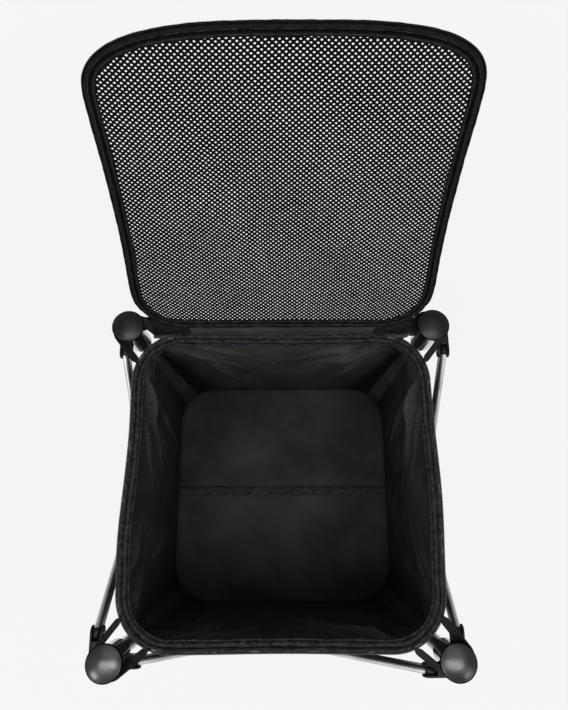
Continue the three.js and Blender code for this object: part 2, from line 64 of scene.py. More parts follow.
def middle(node):
    """The middle of a CAD node's box, in millimetres of the frame."""
    low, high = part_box(node)
    return (np.array(low) + np.array(high)) / 2 / MM


def top(node):
    """The height of a CAD node's top, in millimetres."""
    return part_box(node)[1][2] / MM


leg_front, leg_back = middle("leg_tube_front_left"), middle("leg_tube_back_right")
CENTRE = np.array([(leg_front[0] + leg_back[0]) / 2, (leg_front[1] + leg_back[1]) / 2, 0.0])
HALF = (leg_back[0] - leg_front[0]) / 2
RIM = top("bag_wall_front")
BAG_HALF = (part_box("bag_wall_right")[1][0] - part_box("bag_wall_left")[0][0]) / 2 / MM
BAG_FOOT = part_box("bag_wall_front")[0][2] / MM
LEAN = math.radians(27.6)
RNG = np.random.default_rng(11)

# ---------------------------------------------------------------- camera

PHOTO_HEIGHT, FOCAL = 710, 570.1
SENSOR = 36.0
EYE = (0.0064, -0.1197, 1.662)
TILT, ROLL, YAW = (math.radians(a) for a in (15.31, 0.61, 0.41))


def show(name, data):
    """An object of a mesh, a lamp or a camera, linked to the scene."""
    made = bpy.data.objects.new(name, data)
    bpy.context.scene.collection.objects.link(made)
    return made


def make_camera():
    """Looks steeply down into the bag, tilted a little to the back."""
    lens = bpy.data.cameras.new("camera")
    lens.sensor_fit = "VERTICAL"
    lens.sensor_height = lens.sensor_width = SENSOR
    lens.lens = FOCAL * SENSOR / PHOTO_HEIGHT
    lens.clip_start, lens.clip_end = 0.02, 60.0
    camera = show("camera", lens)
    camera.matrix_world = (Matrix.Translation(EYE) @ Matrix.Rotation(YAW, 4, "Z")
                           @ Matrix.Rotation(TILT, 4, "X") @ Matrix.Rotation(-ROLL, 4, "Z"))
    bpy.context.scene.camera = camera


make_camera()
bpy.context.scene.view_settings.view_transform = "Standard"

# ---------------------------------------------------------------- surfaces


def grid(rows, columns, wrap_rows, wrap_columns):
    """Quads between neighbouring points of a grid, going round where it wraps."""
    i, j = np.meshgrid(np.arange(rows if wrap_rows else rows - 1),
                       np.arange(columns if wrap_columns else columns - 1), indexing="ij")
    i, j = i.ravel(), j.ravel()
    i1, j1 = (i + 1) % rows, (j + 1) % columns
    return np.stack([i * columns + j, i1 * columns + j, i1 * columns + j1, i * columns + j1], 1)


def run(points, axis):
    """The distance travelled along one axis of an array of points."""
    steps = np.linalg.norm(np.diff(points, axis=axis), axis=-1)
    start = np.zeros_like(np.take(steps, [0], axis=axis))
    return np.cumsum(np.concatenate([start, steps], axis), axis)


def woven(x, y, shade=0.0):
    """The thread of flat cloth or drawn metal: its place across and along, and its painted shade."""
    return np.stack([x, y, 0 * x + shade], 1)


def outward(points, faces):
    """Faces of a closed shell, turned round where its signed volume comes out negative."""
    volume = 0.0
    for group in faces:
        corner = points[group]
        for j in range(1, group.shape[1] - 1):
            volume += np.einsum("ij,ij", corner[:, 0], np.cross(corner[:, j], corner[:, j + 1]))
    return faces if volume > 0 else [group[:, ::-1] for group in faces]


POLE = 1e-4


def shell(rings, closed=False):
    """A closed surface over rings of points, neighbours joined by quads. It closes on its first
    ring, or each end gets a flat face, unless the end is a pole. Thread is the place along and
    around it in mm."""
    rings = np.asarray(rings, float)
    count, size = rings.shape[:2]
    faces = [grid(count, size, closed, True)]
    if not closed:
        ends = [np.arange(size), np.arange((count - 1) * size, count * size)[::-1]]
        flat = rings.reshape(-1, 3)
        faces += [end[None] for end in ends if np.ptp(flat[end], axis=0).max() > POLE]
    along = np.broadcast_to(run(rings.mean(1), 0)[:, None], (count, size))
    thread = np.stack([along, run(rings, 1), np.zeros((count, size))], 2)
    points = rings.reshape(-1, 3)
    return points, outward(points, faces), thread.reshape(-1, 3)


def rounded(points, radius, steps=4, closed=True):
    """Rounds a polyline's corners: each becomes a parabola that starts and ends `radius` away from
    it on both sides, or at 45% of the shorter side."""
    p = np.asarray(points, float)
    before, after = np.roll(p, 1, 0) - p, np.roll(p, -1, 0) - p
    reach = [np.maximum(np.linalg.norm(side, axis=1), 1e-9) for side in (before, after)]
    cut = np.minimum(radius, 0.45 * np.minimum(*reach))
    a, c = (p + side / length[:, None] * cut[:, None] for side, length in zip((before, after), reach))
    t = np.linspace(0, 1, steps)[None, :, None]
    curve = (1 - t) ** 2 * a[:, None] + 2 * t * (1 - t) * p[:, None] + t ** 2 * c[:, None]
    if closed:
        return curve.reshape(-1, p.shape[1])
    return np.concatenate([p[:1], curve[1:-1].reshape(-1, p.shape[1]), p[-1:]])


def spaced(points, count, closed=False):
    """The same line with `count` points at even distances."""
    p = np.asarray(points, float)
    if closed:
        p = np.concatenate([p, p[:1]])
    at = run(p, 0)
    want = np.linspace(0, at[-1], count + closed)[:count]
    return np.stack([np.interp(want, at, p[:, i]) for i in range(p.shape[1])], 1)


def full_turn(steps):
    """Angles at even steps, once round."""
    return np.linspace(0, TURN, steps, endpoint=False)


def turned(profile, centre=(0, 0, 0), axis="Z", steps=64, closed=False):
    """A profile of (radius, height) carried round an axis: each point makes a ring."""
    profile = np.asarray(profile, float)
    a = full_turn(steps)
    r, h = profile[:, 0, None], profile[:, 1, None] + 0 * a
    rings = {"Z": [r * np.cos(a), r * np.sin(a), h],
             "Y": [r * np.sin(a), h, r * np.cos(a)],
             "X": [h, r * np.cos(a), r * np.sin(a)]}[axis]
    return shell(np.stack(rings, 2) + np.asarray(centre, float), closed)


def pipe(outer, inner, low, high, edge):
    """A round tube with soft edges."""
    return turned(box_outline(inner, outer, low, high, edge, 4), closed=True)


def rod(radius, low, high, edge, centre, steps=28):
    """A solid round bar along Y with soft edges."""
    section = [(0, low), (radius, low), (radius, high), (0, high)]
    return turned(rounded(section, edge, closed=False), centre, "Y", steps)


def link(x0, z0, r0, x1, z1, r1, steps=14):
    """Outline of two round ends joined by their tangents, in the XZ plane."""
    heading = math.atan2(z1 - z0, x1 - x0)
    flare = math.acos((r0 - r1) / math.hypot(x1 - x0, z1 - z0))
    far = heading + np.linspace(flare, TURN - flare, steps)
    near = heading + np.linspace(-flare, flare, steps)
    return np.concatenate([np.stack([x0 + r0 * np.cos(far), z0 + r0 * np.sin(far)], 1),
                           np.stack([x1 + r1 * np.cos(near), z1 + r1 * np.sin(near)], 1)])


def box_outline(x0, x1, z0, z1, radius, steps=6):
    """Outline of a rectangle with round corners, in the XZ plane."""
    return rounded([(x0, z0), (x1, z0), (x1, z1), (x0, z1)], radius, steps)


def facing(outline):
    """Outward unit normals of a closed outline, from the line through each point's neighbours."""
    along = np.roll(outline, -1, 0) - np.roll(outline, 1, 0)
    normal = np.stack([along[:, 1], -along[:, 0]], 1)
    normal /= np.maximum(np.linalg.norm(normal, axis=1), 1e-9)[:, None]
    x, z = outline.T
    area = (x * np.roll(z, -1) - z * np.roll(x, -1)).sum()
    return normal * np.sign(area)


def plate(outline, y0, y1, edge, steps=4):
    """A flat piece: its outline in the XZ plane carried from y0 to y1, with quarter-round edges:
    the outline moves in by edge (1 - sin a) while y moves in by edge (1 - cos a)."""
    a = np.linspace(0, math.pi / 2, steps)
    inset = edge * (1 - np.sin(a))
    depth = edge * (1 - np.cos(a))
    inset = np.concatenate([inset, inset[::-1]])
    depth = np.concatenate([y0 + depth, (y1 - depth)[::-1]])
    flat = outline[None] - inset[:, None, None] * facing(outline)[None]
    y = np.broadcast_to(depth[:, None], flat.shape[:2])
    return shell(np.stack([flat[..., 0], y, flat[..., 1]], 2))


def swept(path, profile, up=(0, 0, 1), closed=False):
    """A closed profile carried along a path: its first axis stands across the path and `up`, and
    its second as near to `up` as the path lets it. A profile may change along the path."""
    path = np.asarray(path, float)
    if closed:
        tangent = np.roll(path, -1, 0) - np.roll(path, 1, 0)
    else:
        tangent = np.gradient(path, axis=0)
    tangent /= np.linalg.norm(tangent, axis=1)[:, None]
    side = np.cross(tangent, np.broadcast_to(up, path.shape))
    side /= np.linalg.norm(side, axis=1)[:, None]
    over = np.cross(side, tangent)
    profile = np.broadcast_to(profile, (len(path),) + np.shape(profile)[-2:])
    rings = path[:, None] + profile[..., :1] * side[:, None] + profile[..., 1:] * over[:, None]
    return shell(rings, closed)


def oval(width, height, steps=12):
    """A closed section, round or oval, centred on the path."""
    a = full_turn(steps)
    return np.stack([width / 2 * np.cos(a), height / 2 * np.sin(a)], 1)


def moved(made, change):
    """A shell with its points changed by a function; faces turn round if that mirrors it."""
    points, faces, thread = made
    points = change(points)
    return points, outward(points, faces), thread


def placed(shells, change):
    """Several shells with their points changed alike."""
    return [moved(made, change) for made in shells]


def spun(c, s):
    """A function that turns points about the vertical by the angle with cosine c and sine s."""
    return lambda p: np.stack([c * p[:, 0] - s * p[:, 1], s * p[:, 0] + c * p[:, 1], p[:, 2]], 1)


def quarter(k):
    """A function that turns points by k quarter turns about the cart's middle."""
    return spun(*QUARTERS[k % 4])


def swapped(p):
    """Mirrors points across the diagonal y = x."""
    return p[:, [1, 0, 2]]


# ---------------------------------------------------------------- pieces

HARD_EDGE, SOFT_EDGE = 38.0, 60.0
WELD = 1e-6
WALL_KEPT, PANEL_KEPT = 0.03, 0.31


def piece(name, shells, finish, body, stands_for=(), fold=None, sharp=HARD_EDGE):
    """Joins shells into one object that rides on a body and takes the finish given. It is smooth but for
    edges sharper than `sharp` degrees."""
    points = np.concatenate([s[0] for s in shells])
    thread = np.concatenate([s[2] for s in shells])
    starts = np.cumsum([0] + [len(s[0]) for s in shells])
    faces = [face for s, start in zip(shells, starts) for group in s[1]
             for face in (group + start).tolist()]
    mesh = bpy.data.meshes.new(name)
    mesh.from_pydata(((points + CENTRE) * MM).tolist(), [], faces)
    mesh.attributes.new("thread", "FLOAT_VECTOR", "POINT").data.foreach_set(
        "vector", thread.astype(np.float32).ravel())
    joined = bmesh.new()
    joined.from_mesh(mesh)
    bmesh.ops.remove_doubles(joined, verts=joined.verts, dist=WELD)
    joined.to_mesh(mesh)
    joined.free()
    mesh.shade_smooth()
    mesh.set_sharp_from_angle(angle=math.radians(sharp))
    mesh.materials.append(finish)
    made = show(name, mesh)
    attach(made, body)
    if stands_for:
        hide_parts(*stands_for)
    if fold:
        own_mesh(made)
    return made


def sewn(name, shells, finish, body, stands_for, fold):
    """A piece of cloth or tape, which keeps its soft bends smooth."""
    return piece(name, shells, finish, body, stands_for, fold, SOFT_EDGE)


def fitter(where, place):
    """A function for the pieces of one corner or side: it puts their shells in place, and `where`
    ends their name, their body's name and that of the CAD node they stand for."""

    def fit(name, shells, finish, body, slot, node=None):
        piece(f"{name}_{where}", placed(shells, place), finish, f"{body}_{where}",
              [f"{node}_{where}"] if node else ())

    return fit


# ---------------------------------------------------------------- finishes


def srgb(code):
    """A hex colour as the linear values that a shader takes."""
    value = [int(code[i:i + 2], 16) / 255 for i in (1, 3, 5)]
    return tuple(v / 12.92 if v <= 0.04045 else ((v + 0.055) / 1.055) ** 2.4 for v in value) + (1.0,)


def add(tree, kind, inputs=(), **settings):
    """Adds a shader node, with its settings and with inputs that are values or other sockets."""
    made = tree.nodes.new("ShaderNode" + kind)
    for key, value in settings.items():
        setattr(made, key, value)
    for key, value in dict(inputs).items():
        if isinstance(value, bpy.types.Node):
            value = value.outputs[0]
        if isinstance(value, bpy.types.NodeSocket):
            tree.links.new(value, made.inputs[key])
        else:
            made.inputs[key].default_value = value
    return made


def cleared(owner):
    """The empty node tree of a material or a world."""
    owner.use_nodes = True
    owner.node_tree.nodes.clear()
    return owner.node_tree


def blank(name, **sockets):
    """A material with one Principled shader, which takes the sockets given by name. Returned are the
    material, its node tree, the shader and the place on the object."""
    made = bpy.data.materials.new(name)
    tree = cleared(made)
    shader = add(tree, "BsdfPrincipled", {k.replace("_", " "): v for k, v in sockets.items()})
    add(tree, "OutputMaterial", {"Surface": shader})
    return made, tree, shader, add(tree, "TexCoord").outputs["Object"]


def fabric(name, rough, sheen, gloss, sheen_rough=0.4, tint="#8f9094"):
    """A blank cloth: its fibres give a faint sheen at its edges."""
    return blank(name, Roughness=rough, Sheen_Weight=sheen, Sheen_Roughness=sheen_rough,
                 Sheen_Tint=srgb(tint), Specular_IOR_Level=gloss)


def compute(tree, operation, *values):
    """The result of an operation on values or sockets."""
    return add(tree, "Math", dict(enumerate(values)), operation=operation).outputs[0]


def times(tree, a, b):
    """The product of two values."""
    return compute(tree, "MULTIPLY", a, b)


def plus(tree, a, b):
    """The sum of two values."""
    return compute(tree, "ADD", a, b)


def either(tree, a, b):
    """The larger of two values: with values of 0 and 1, whether one of them holds."""
    return compute(tree, "MAXIMUM", a, b)


def wave(tree, source, pitch):
    """A sine of one coordinate in mm, from -1 to 1, with its pitch in mm."""
    return compute(tree, "SINE", times(tree, source, TURN / pitch))


def noise(tree, coords, scale, detail=2.0):
    """A soft noise from 0 to 1, with its scale per metre."""
    return add(tree, "TexNoise", {"Vector": coords, "Scale": scale, "Detail": detail}).outputs[0]


def stretched(tree, value, low, high, to_low=0.0, to_high=1.0):
    """A value brought from one range to another, and kept within it."""
    return add(tree, "MapRange", {"Value": value, "From Min": low, "From Max": high,
                                  "To Min": to_low, "To Max": to_high}).outputs[0]


PATCH_LOW, PATCH_HIGH, PATCH_DETAIL = 0.35, 0.65, 4.0


def patchy(tree, shader, coords, scale, dark, light):
    """Lets a soft noise wander the colour between two others."""
    ramp = add(tree, "ValToRGB", {"Fac": noise(tree, coords, scale, PATCH_DETAIL)})
    stops = ramp.color_ramp.elements
    stops[0].position, stops[1].position = PATCH_LOW, PATCH_HIGH
    stops[0].color, stops[1].color = srgb(dark), srgb(light)
    tree.links.new(ramp.outputs[0], shader.inputs["Base Color"])


def patchy_gloss(tree, shader, coords, scale, low, high):
    """Lets a soft noise wander the roughness between two values."""
    patches = noise(tree, coords, scale, PATCH_DETAIL)
    tree.links.new(stretched(tree, patches, PATCH_LOW, PATCH_HIGH, low, high), shader.inputs["Roughness"])


def threads(tree):
    """The place along and around a piece, in mm, and its painted shade, as three sockets."""
    place = add(tree, "Attribute", attribute_name="thread").outputs["Vector"]
    return add(tree, "SeparateXYZ", {0: place}).outputs


def relief(tree, shader, height, millimetres):
    """Bump of a given depth."""
    bump = add(tree, "Bump", {"Height": height, "Distance": millimetres * MM, "Strength": 1.0})
    tree.links.new(bump.outputs[0], shader.inputs["Normal"])


def woven_polyester(name, dark, light, pitch, depth, rough, sheen, gloss, painted_shade=False):
    """Woven 600-denier polyester, PU-backed: a matt black with the fine grid of its plain weave and a
    faint sheen at the edges. The weave is about 0.5 mm; it is drawn coarser so that it shows."""
    made, tree, shader, coords = fabric(name, rough, sheen, gloss, 0.45)
    along, around, shade = threads(tree)
    patchy(tree, shader, coords, 14.0, dark, light)
    # Painted shade: the base colour is scaled by the thread's shade, darker in creases and towards the foot,
    # lighter on fold ridges.
    if painted_shade:
        plain = shader.inputs["Base Color"].links[0].from_socket
        painted_shade_scale = stretched(tree, shade, -0.4, 1.0, 1.25, 0.05)
        shaded = add(tree, "VectorMath", {0: plain, "Scale": painted_shade_scale}, operation="SCALE")
        tree.links.new(shaded.outputs[0], shader.inputs["Base Color"])
    weave = times(tree, wave(tree, along, pitch), wave(tree, around, pitch))
    slubs = times(tree, noise(tree, coords, 420.0), 1.2)
    relief(tree, shader, plus(tree, weave, slubs), depth)
    return made


def ribbed_binding(name, dark, light, pitch, gloss, sheen):
    """Folded grosgrain binding: close ribs across the tape give a soft dark grey where light rakes it."""
    made, tree, shader, coords = fabric(name, 0.6, sheen, gloss, tint="#a0a1a5")
    patchy(tree, shader, coords, 210.0, dark, light)
    ribs = wave(tree, threads(tree)[0], pitch)
    relief(tree, shader, plus(tree, ribs, noise(tree, coords, 900.0)), 0.16)
    return made


def nylon_webbing():
    """Herringbone nylon webbing: slanting ridges that turn at each rib give a satin black."""
    made, tree, shader, coords = fabric("nylon_webbing", 0.55, 0.02, 0.14)
    along, around, _ = threads(tree)
    patchy(tree, shader, coords, 30.0, "#0c0c0d", "#161617")
    slant = plus(tree, along, compute(tree, "PINGPONG", around, 2.4))
    ribs = times(tree, wave(tree, around, 4.8), 0.6)
    relief(tree, shader, plus(tree, wave(tree, slant, 1.6), ribs), 0.25)
    return made


def knitted_mesh():
    """Warp-knitted polyester mesh with round holes: smooth, dull black threads with a slight gleam."""
    made, tree, shader, coords = fabric("knitted_mesh", 0.6, 0.005, 0.04)
    patchy(tree, shader, coords, 9.0, "#040404", "#090909")
    relief(tree, shader, noise(tree, coords, 1100.0), 0.2)
    return made


def moulded_plastic(name, dark, light, rough, grain, depth, gloss=0.5):
    """Injection-moulded black plastic: the mould's fine grain breaks up its highlight, and handling
    has polished it unevenly."""
    made, tree, shader, coords = blank(name, IOR=1.5, Specular_IOR_Level=gloss)
    patchy(tree, shader, coords, 35.0, dark, light)
    patchy_gloss(tree, shader, coords, 55.0, rough - 0.07, rough + 0.07)
    relief(tree, shader, noise(tree, coords, grain, 3.0), depth)
    return made


def drawn_aluminium():
    """Satin anodised drawn aluminium: fine lines along the tube from the die, a broken, soft grey
    reflection, and small darker scuffs."""
    made, tree, shader, coords = blank("satin_anodised_aluminium", Metallic=1.0)
    patchy(tree, shader, coords, 26.0, "#b9bab9", "#d3d4d2")
    along, around, _ = threads(tree)
    long_way = add(tree, "CombineXYZ", {0: times(tree, along, 0.02), 1: around})
    lines = noise(tree, long_way, 1.8, 4.0)
    tree.links.new(stretched(tree, lines, 0.3, 0.7, 0.26, 0.42), shader.inputs["Roughness"])
    relief(tree, shader, lines, 0.02)
    return made


def bright_metal(name, dark, light, rough_low, rough_high, depth):
    """Polished or plated metal: near-mirror with a faint orange peel and hairline wear."""
    made, tree, shader, coords = blank(name, Metallic=1.0)
    patchy(tree, shader, coords, 60.0, dark, light)
    patchy_gloss(tree, shader, coords, 140.0, rough_low, rough_high)
    relief(tree, shader, noise(tree, coords, 260.0), depth)
    return made


def worn_enamel():
    """Black enamel on cast zinc: glossy, with the bare metal glinting where the edges rub."""
    made, tree, shader, coords = blank("black_enamel_on_zinc", Roughness=0.42)
    rub = noise(tree, coords, 620.0, 3.0)
    edge = add(tree, "NewGeometry").outputs["Pointiness"]
    worn = stretched(tree, plus(tree, edge, times(tree, rub, 0.16)), 0.68, 0.76)
    colour = add(tree, "Mix", {0: worn, 6: srgb("#0c0c0d"), 7: srgb("#7c7e81")}, data_type="RGBA")
    tree.links.new(colour.outputs[2], shader.inputs["Base Color"])
    tree.links.new(worn, shader.inputs["Metallic"])
    relief(tree, shader, rub, 0.03)
    return made


CLOTH = woven_polyester("woven_polyester_600d", "#101011", "#1b1b1d", 1.3, 0.12, 0.85, 0.02, 0.06)
# The lining's colour carries painted shade in its creases and towards its foot, and painted light on its fold
# ridges.
LINING = woven_polyester("coated_lining", "#2a2a29", "#3a3a38", 1.1, 0.09, 0.6, 0.015, 0.08, True)
HINGE_CLOTH = woven_polyester("woven_polyester_hinge", "#141416", "#232326", 1.3, 0.12, 0.7, 0.09, 0.3)
BINDING = ribbed_binding("grosgrain_binding", "#0a0a0b", "#28282a", 1.5, 0.18, 0.03)
BORDER_TAPE = ribbed_binding("lid_border_tape", "#080808", "#111112", 1.6, 0.1, 0.015)
PIPING = ribbed_binding("rim_piping", "#0e0e0f", "#18181a", 1.7, 0.25, 0.04)
WEBBING = nylon_webbing()
NET = knitted_mesh()
COIL = moulded_plastic("zip_coil_polyester", "#0c0c0d", "#19191b", 0.4, 900.0, 0.02)
THREAD = moulded_plastic("bonded_thread", "#1c1c1e", "#2b2b2d", 0.55, 1500.0, 0.05)
DARK_THREAD = moulded_plastic("dark_bonded_thread", "#121213", "#1c1c1d", 0.6, 1500.0, 0.05, 0.3)
CAP_PLASTIC = moulded_plastic("moulded_abs_cap", "#0a0a0b", "#101011", 0.34, 900.0, 0.03, 0.8)
# Painted shade: the rear caps get a copy of the cap plastic that reflects less and is rougher, for the shade
# they sit in.
SHADED_CAP_PLASTIC = moulded_plastic("moulded_abs_cap_shaded", "#0a0a0b", "#101011", 0.4, 900.0, 0.03, 0.28)
LIP_PLASTIC = moulded_plastic("matt_abs_cap_lip", "#050506", "#0a0a0b", 0.8, 900.0, 0.03, 0.03)
PLASTIC = moulded_plastic("glass_filled_nylon", "#0b0b0c", "#141415", 0.45, 620.0, 0.04, 0.2)
TYRE = moulded_plastic("polyurethane_tyre", "#1a1a1c", "#262628", 0.55, 380.0, 0.05)
HUB = moulded_plastic("wheel_hub_nylon", "#111112", "#1c1c1e", 0.42, 520.0, 0.03)
TUBE = drawn_aluminium()
SLEEVE = bright_metal("polished_aluminium_sleeve", "#bcbdbd", "#cacbcb", 0.17, 0.23, 0.004)
RIVET = bright_metal("zinc_plated_steel", "#a4a7aa", "#bcbec0", 0.2, 0.34, 0.02)
ENAMEL = worn_enamel()

# ---------------------------------------------------------------- legs

CAP_RADIUS = 23.5
CAP_FOOT, CAP_RIM, CAP_DOME = 865.3, 872.0, 6.4
SLEEVE_RADIUS, TUBE_RADIUS, TUBE_WALL = 14.5, 11.0, 1.4
SLEEVE_SIDE = 17.0
SLEEVE_FOOT = (808.0, 808.0, 793.0, 793.0)
LEG_TOP, TUBE_FOOT = 865.0, 69.6
REACH = 30.0
TOP_PIVOT, SLIDER_PIVOT, SLIDER_HALF = 833.9, 488.46, 19
SCREW_HEIGHT = 832.0
SLOPE = math.radians(41.9)
INNER_PLANE, OUTER_PLANE, SIDE_OFFSET = 5.5, 16.5, 5.0
BAR_THICK, BAR_HIGH = 9.6, 19.0
PITCH = (2 * HALF - 2 * REACH) / math.cos(SLOPE)
GAP = 0.3
EAR = 3.0
WEB_START, WEB_HALF = 4.0, 7.4
SHOE = -3.0


def at_leg(k):
    """A function that puts a leg's own shapes at corner k."""
    return lambda p: quarter(k)(p + np.array([-HALF, -HALF, 0]))


def offset(k):
    """How much further out the bars of side k lie."""
    return (k % 2) * SIDE_OFFSET


def cap():
    """A mushroom cap's dome: part of a sphere over the rim, closed by a flat underside."""
    wide, high = CAP_RADIUS - 1.2, CAP_DOME
    sphere = (wide ** 2 + high ** 2) / (2 * high)
    a = np.linspace(math.asin(wide / sphere), 0, 22)
    dome = np.stack([sphere * np.sin(a), CAP_RIM + high - sphere * (1 - np.cos(a))], 1)
    under = [(0, CAP_RIM - 2), (wide - 0.2, CAP_RIM - 2), (wide, CAP_RIM - 1)]
    return turned(np.concatenate([under, dome]), steps=80)


def cap_lip():
    """The cap's skirt: it flares from the leg to a thin bead that stands round the dome's edge."""
    lip = rounded([(0, CAP_FOOT), (18.9, CAP_FOOT), (19.4, 866.0), (CAP_RADIUS - 0.5, 868.6),
                   (CAP_RADIUS, 869.8), (CAP_RADIUS, 871.6), (CAP_RADIUS - 0.5, 872.3),
                   (CAP_RADIUS - 1.1, 872.3), (CAP_RADIUS - 1.5, 871.3), (0, 871.3)], 0.45, closed=False)
    return turned(lip, steps=80)


def ear_and_web(radius, plane, z):
    """One clevis: a web block beside the leg and an ear on each side of the bar."""
    near, far = -(plane - BAR_THICK / 2 - GAP), -(plane + BAR_THICK / 2 + GAP)
    outline = link(WEB_START, z, 7.5, REACH, z, 8.6)
    root = max(near + EAR, -radius)
    web_end = REACH - BAR_HIGH / 2 - GAP
    web = box_outline(WEB_START, web_end, z - WEB_HALF, z + WEB_HALF, 1.6)
    rib = box_outline(WEB_START, 17.0, z - 1.6, z + 1.6, 0.8)
    return [plate(web, far - EAR + 0.2, root, 0.6), plate(rib, far - EAR - 1.4, far - EAR + 1.0, 0.6),
            plate(outline, near, near + EAR, 0.8), plate(outline, far - EAR, far, 0.8)]


def heads_on_pin(profile, out, inn, centre):
    """The same turned head on both ends of a pin along Y, facing away from each other."""
    radius, height = np.array(profile, float).T
    return [turned(np.stack([radius, face + sense * height], 1), centre, "Y", 24)
            for face, sense in ((out, -1), (inn, 1))]


def rivet(x, z, out, inn, radius=3.1):
    """Two domed heads on one pin: each dome's height falls with the square of its radius."""
    r = np.linspace(0, 1, 9)
    dome = np.concatenate([np.stack([radius * r, 1.6 - 1.3 * r ** 2], 1), [(radius, -0.4), (0, -0.4)]])
    return heads_on_pin(dome, out, inn, (x, 0, z))


def clevis_rivet(plane, z):
    """The rivet of one clevis."""
    reach = BAR_THICK / 2 + GAP + EAR
    return rivet(REACH, z, -(plane + reach), -(plane - reach))


def clevises(radius, z, plane_x, plane_y):
    """The two clevises of one leg, one along each side, and the heads of their rivets."""
    ears = ear_and_web(radius, plane_x, z) + placed(ear_and_web(radius, plane_y, z), swapped)
    return ears, clevis_rivet(plane_x, z) + placed(clevis_rivet(plane_y, z), swapped)


def collar(bore, wall, low, high, bead):
    """A collar: a straight wall between two beaded ends."""
    out = bore + wall
    section = [(bore, low), (out + bead, low), (out + bead, low + 3.2), (out, low + 4.6),
               (out, high - 4.6), (out + bead, high - 3.2), (out + bead, high), (bore, high)]
    return turned(rounded(section, 0.9, 5), closed=True)


def screw(radius, z):
    """A pan-head screw on the outer side of a collar, facing away from the bag."""
    a = np.linspace(0, 1, 7)
    socket, edge = [(0, 0.2), (1.1, -0.2), (1.3, 0.9)], [(3.4, -0.6), (0, -0.6)]
    profile = np.concatenate([socket, np.stack([1.5 + 1.9 * a, 1.5 - 1.4 * a ** 2], 1), edge])
    head = moved(turned(profile, axis="X", steps=20), lambda p: p + np.array([radius, 0, z]))
    return moved(head, spun(-math.sqrt(0.5), -math.sqrt(0.5)))


def stem_plug():
    """The plug in a tube's foot, with a flange and a bore for the castor's stem."""
    bore, flange, wall = 5.3, 13.2, 9.3
    low, step, high = 63.3, 69.3, 103.4
    section = [(bore, low), (flange, low), (flange, step), (wall, step), (wall, high), (bore, high)]
    return turned(rounded(section, 0.9), closed=True)


for k, corner in enumerate(CORNERS):
    put = fitter(corner, at_leg(k))
    # The rear caps take the copy with painted shade.
    put("dome_cap", [cap()], CAP_PLASTIC if k < 2 else SHADED_CAP_PLASTIC, "leg", "plastic", "leg_cap")
    put("cap_lip", [cap_lip()], LIP_PLASTIC, "leg", "plastic")
    sleeve = pipe(SLEEVE_SIDE, TUBE_RADIUS + GAP, SLEEVE_FOOT[k], LEG_TOP, 0.7)
    put("bright_sleeve", [sleeve], SLEEVE, "leg", "polished", "leg_sleeve")
    tube = pipe(TUBE_RADIUS, TUBE_RADIUS - TUBE_WALL, TUBE_FOOT, LEG_TOP, 0.4)
    put("leg_profile", [tube], TUBE, "leg", "aluminium", "leg_tube")
    put("stem_plug", [stem_plug()], PLASTIC, "leg", "plastic", "foot_plug")
    ears, heads = clevises(SLEEVE_RADIUS, TOP_PIVOT, INNER_PLANE + offset(k), OUTER_PLANE + offset(k + 1))
    put("upper_bracket", ears, PLASTIC, "leg", "plastic", "top_bracket")
    put("upper_rivets", heads + [screw(SLEEVE_SIDE, SCREW_HEIGHT)], RIVET, "leg", "zinc")
    ears, heads = clevises(TUBE_RADIUS, SLIDER_PIVOT, OUTER_PLANE + offset(k), INNER_PLANE + offset(k + 1))
    ring = collar(TUBE_RADIUS + GAP, 3.6, SLIDER_PIVOT - SLIDER_HALF, SLIDER_PIVOT + SLIDER_HALF, 0.7)
    put("leg_slider", [ring] + ears, PLASTIC, "slider", "plastic", "slider")
    put("slider_rivets", heads, RIVET, "slider", "zinc")

# ---------------------------------------------------------------- bars


def bar():
    """A flat-oval bar, level: a round-ended strip, fully rounded on both long edges."""
    end = BAR_HIGH / 2
    points, faces, _ = plate(link(0, 0, end, PITCH, 0, end, 20), -BAR_THICK / 2, BAR_THICK / 2,
                             BAR_THICK / 2 - 0.05, 9)
    return points, faces, woven(points[:, 0], points[:, 1] + points[:, 2])


def tips():
    """The plastic shoes on a bar's two ends: round-ended strips that stand a hair over the bar."""
    end, over = BAR_HIGH / 2, 0.25
    a = np.linspace(math.pi / 2, 3 * math.pi / 2, 21)
    shoe = np.concatenate([np.stack([(end + over) * np.cos(a), (end + over) * np.sin(a)], 1),
                           [(SHOE, -end - over), (SHOE, end + over)]])[::-1]
    first = plate(shoe, -BAR_THICK / 2 - over / 2, BAR_THICK / 2 + over / 2, BAR_THICK / 2 - 0.05, 9)
    return [first, moved(first, lambda p: p * np.array([-1, -1, 1]) + np.array([PITCH, 0, 0]))]


def on_side(k, plane, z, slope):
    """A function that puts shapes made along a level bar at their place on side k."""
    c, s = math.cos(slope), math.sin(slope)

    def place(p):
        x, y, up = p.T
        tilted = np.stack([c * x - s * up, y, s * x + c * up], 1)
        return quarter(k)(tilted + np.array([-HALF + REACH, -HALF - plane, z]))

    return place


APART = OUTER_PLANE - INNER_PLANE
for k, side in enumerate(SIDES):
    put_inner = fitter(side, on_side(k, INNER_PLANE + offset(k), TOP_PIVOT, -SLOPE))
    put_outer = fitter(side, on_side(k, OUTER_PLANE + offset(k), SLIDER_PIVOT, SLOPE))
    put_inner("cross_bar_inner", [bar()], TUBE, "bar_inner", "aluminium", "bar_inner")
    put_outer("cross_bar_outer", [bar()], TUBE, "bar_outer", "aluminium", "bar_outer")
    put_inner("bar_shoes_inner", tips(), PLASTIC, "bar_inner", "plastic")
    put_outer("bar_shoes_outer", tips(), PLASTIC, "bar_outer", "plastic")
    heads = rivet(PITCH / 2, 0, -(APART + BAR_THICK / 2 + GAP), BAR_THICK / 2, 4.6)
    put_inner("middle_rivet", heads, RIVET, "bar_inner", "zinc")
    washer = rod(6.2, -BAR_THICK / 2 + 0.4, -(APART - BAR_THICK / 2) + 0.1, 0.3, (PITCH / 2, 0, 0))
    put_inner("middle_washer", [washer], PLASTIC, "bar_inner", "plastic")

# ---------------------------------------------------------------- castors

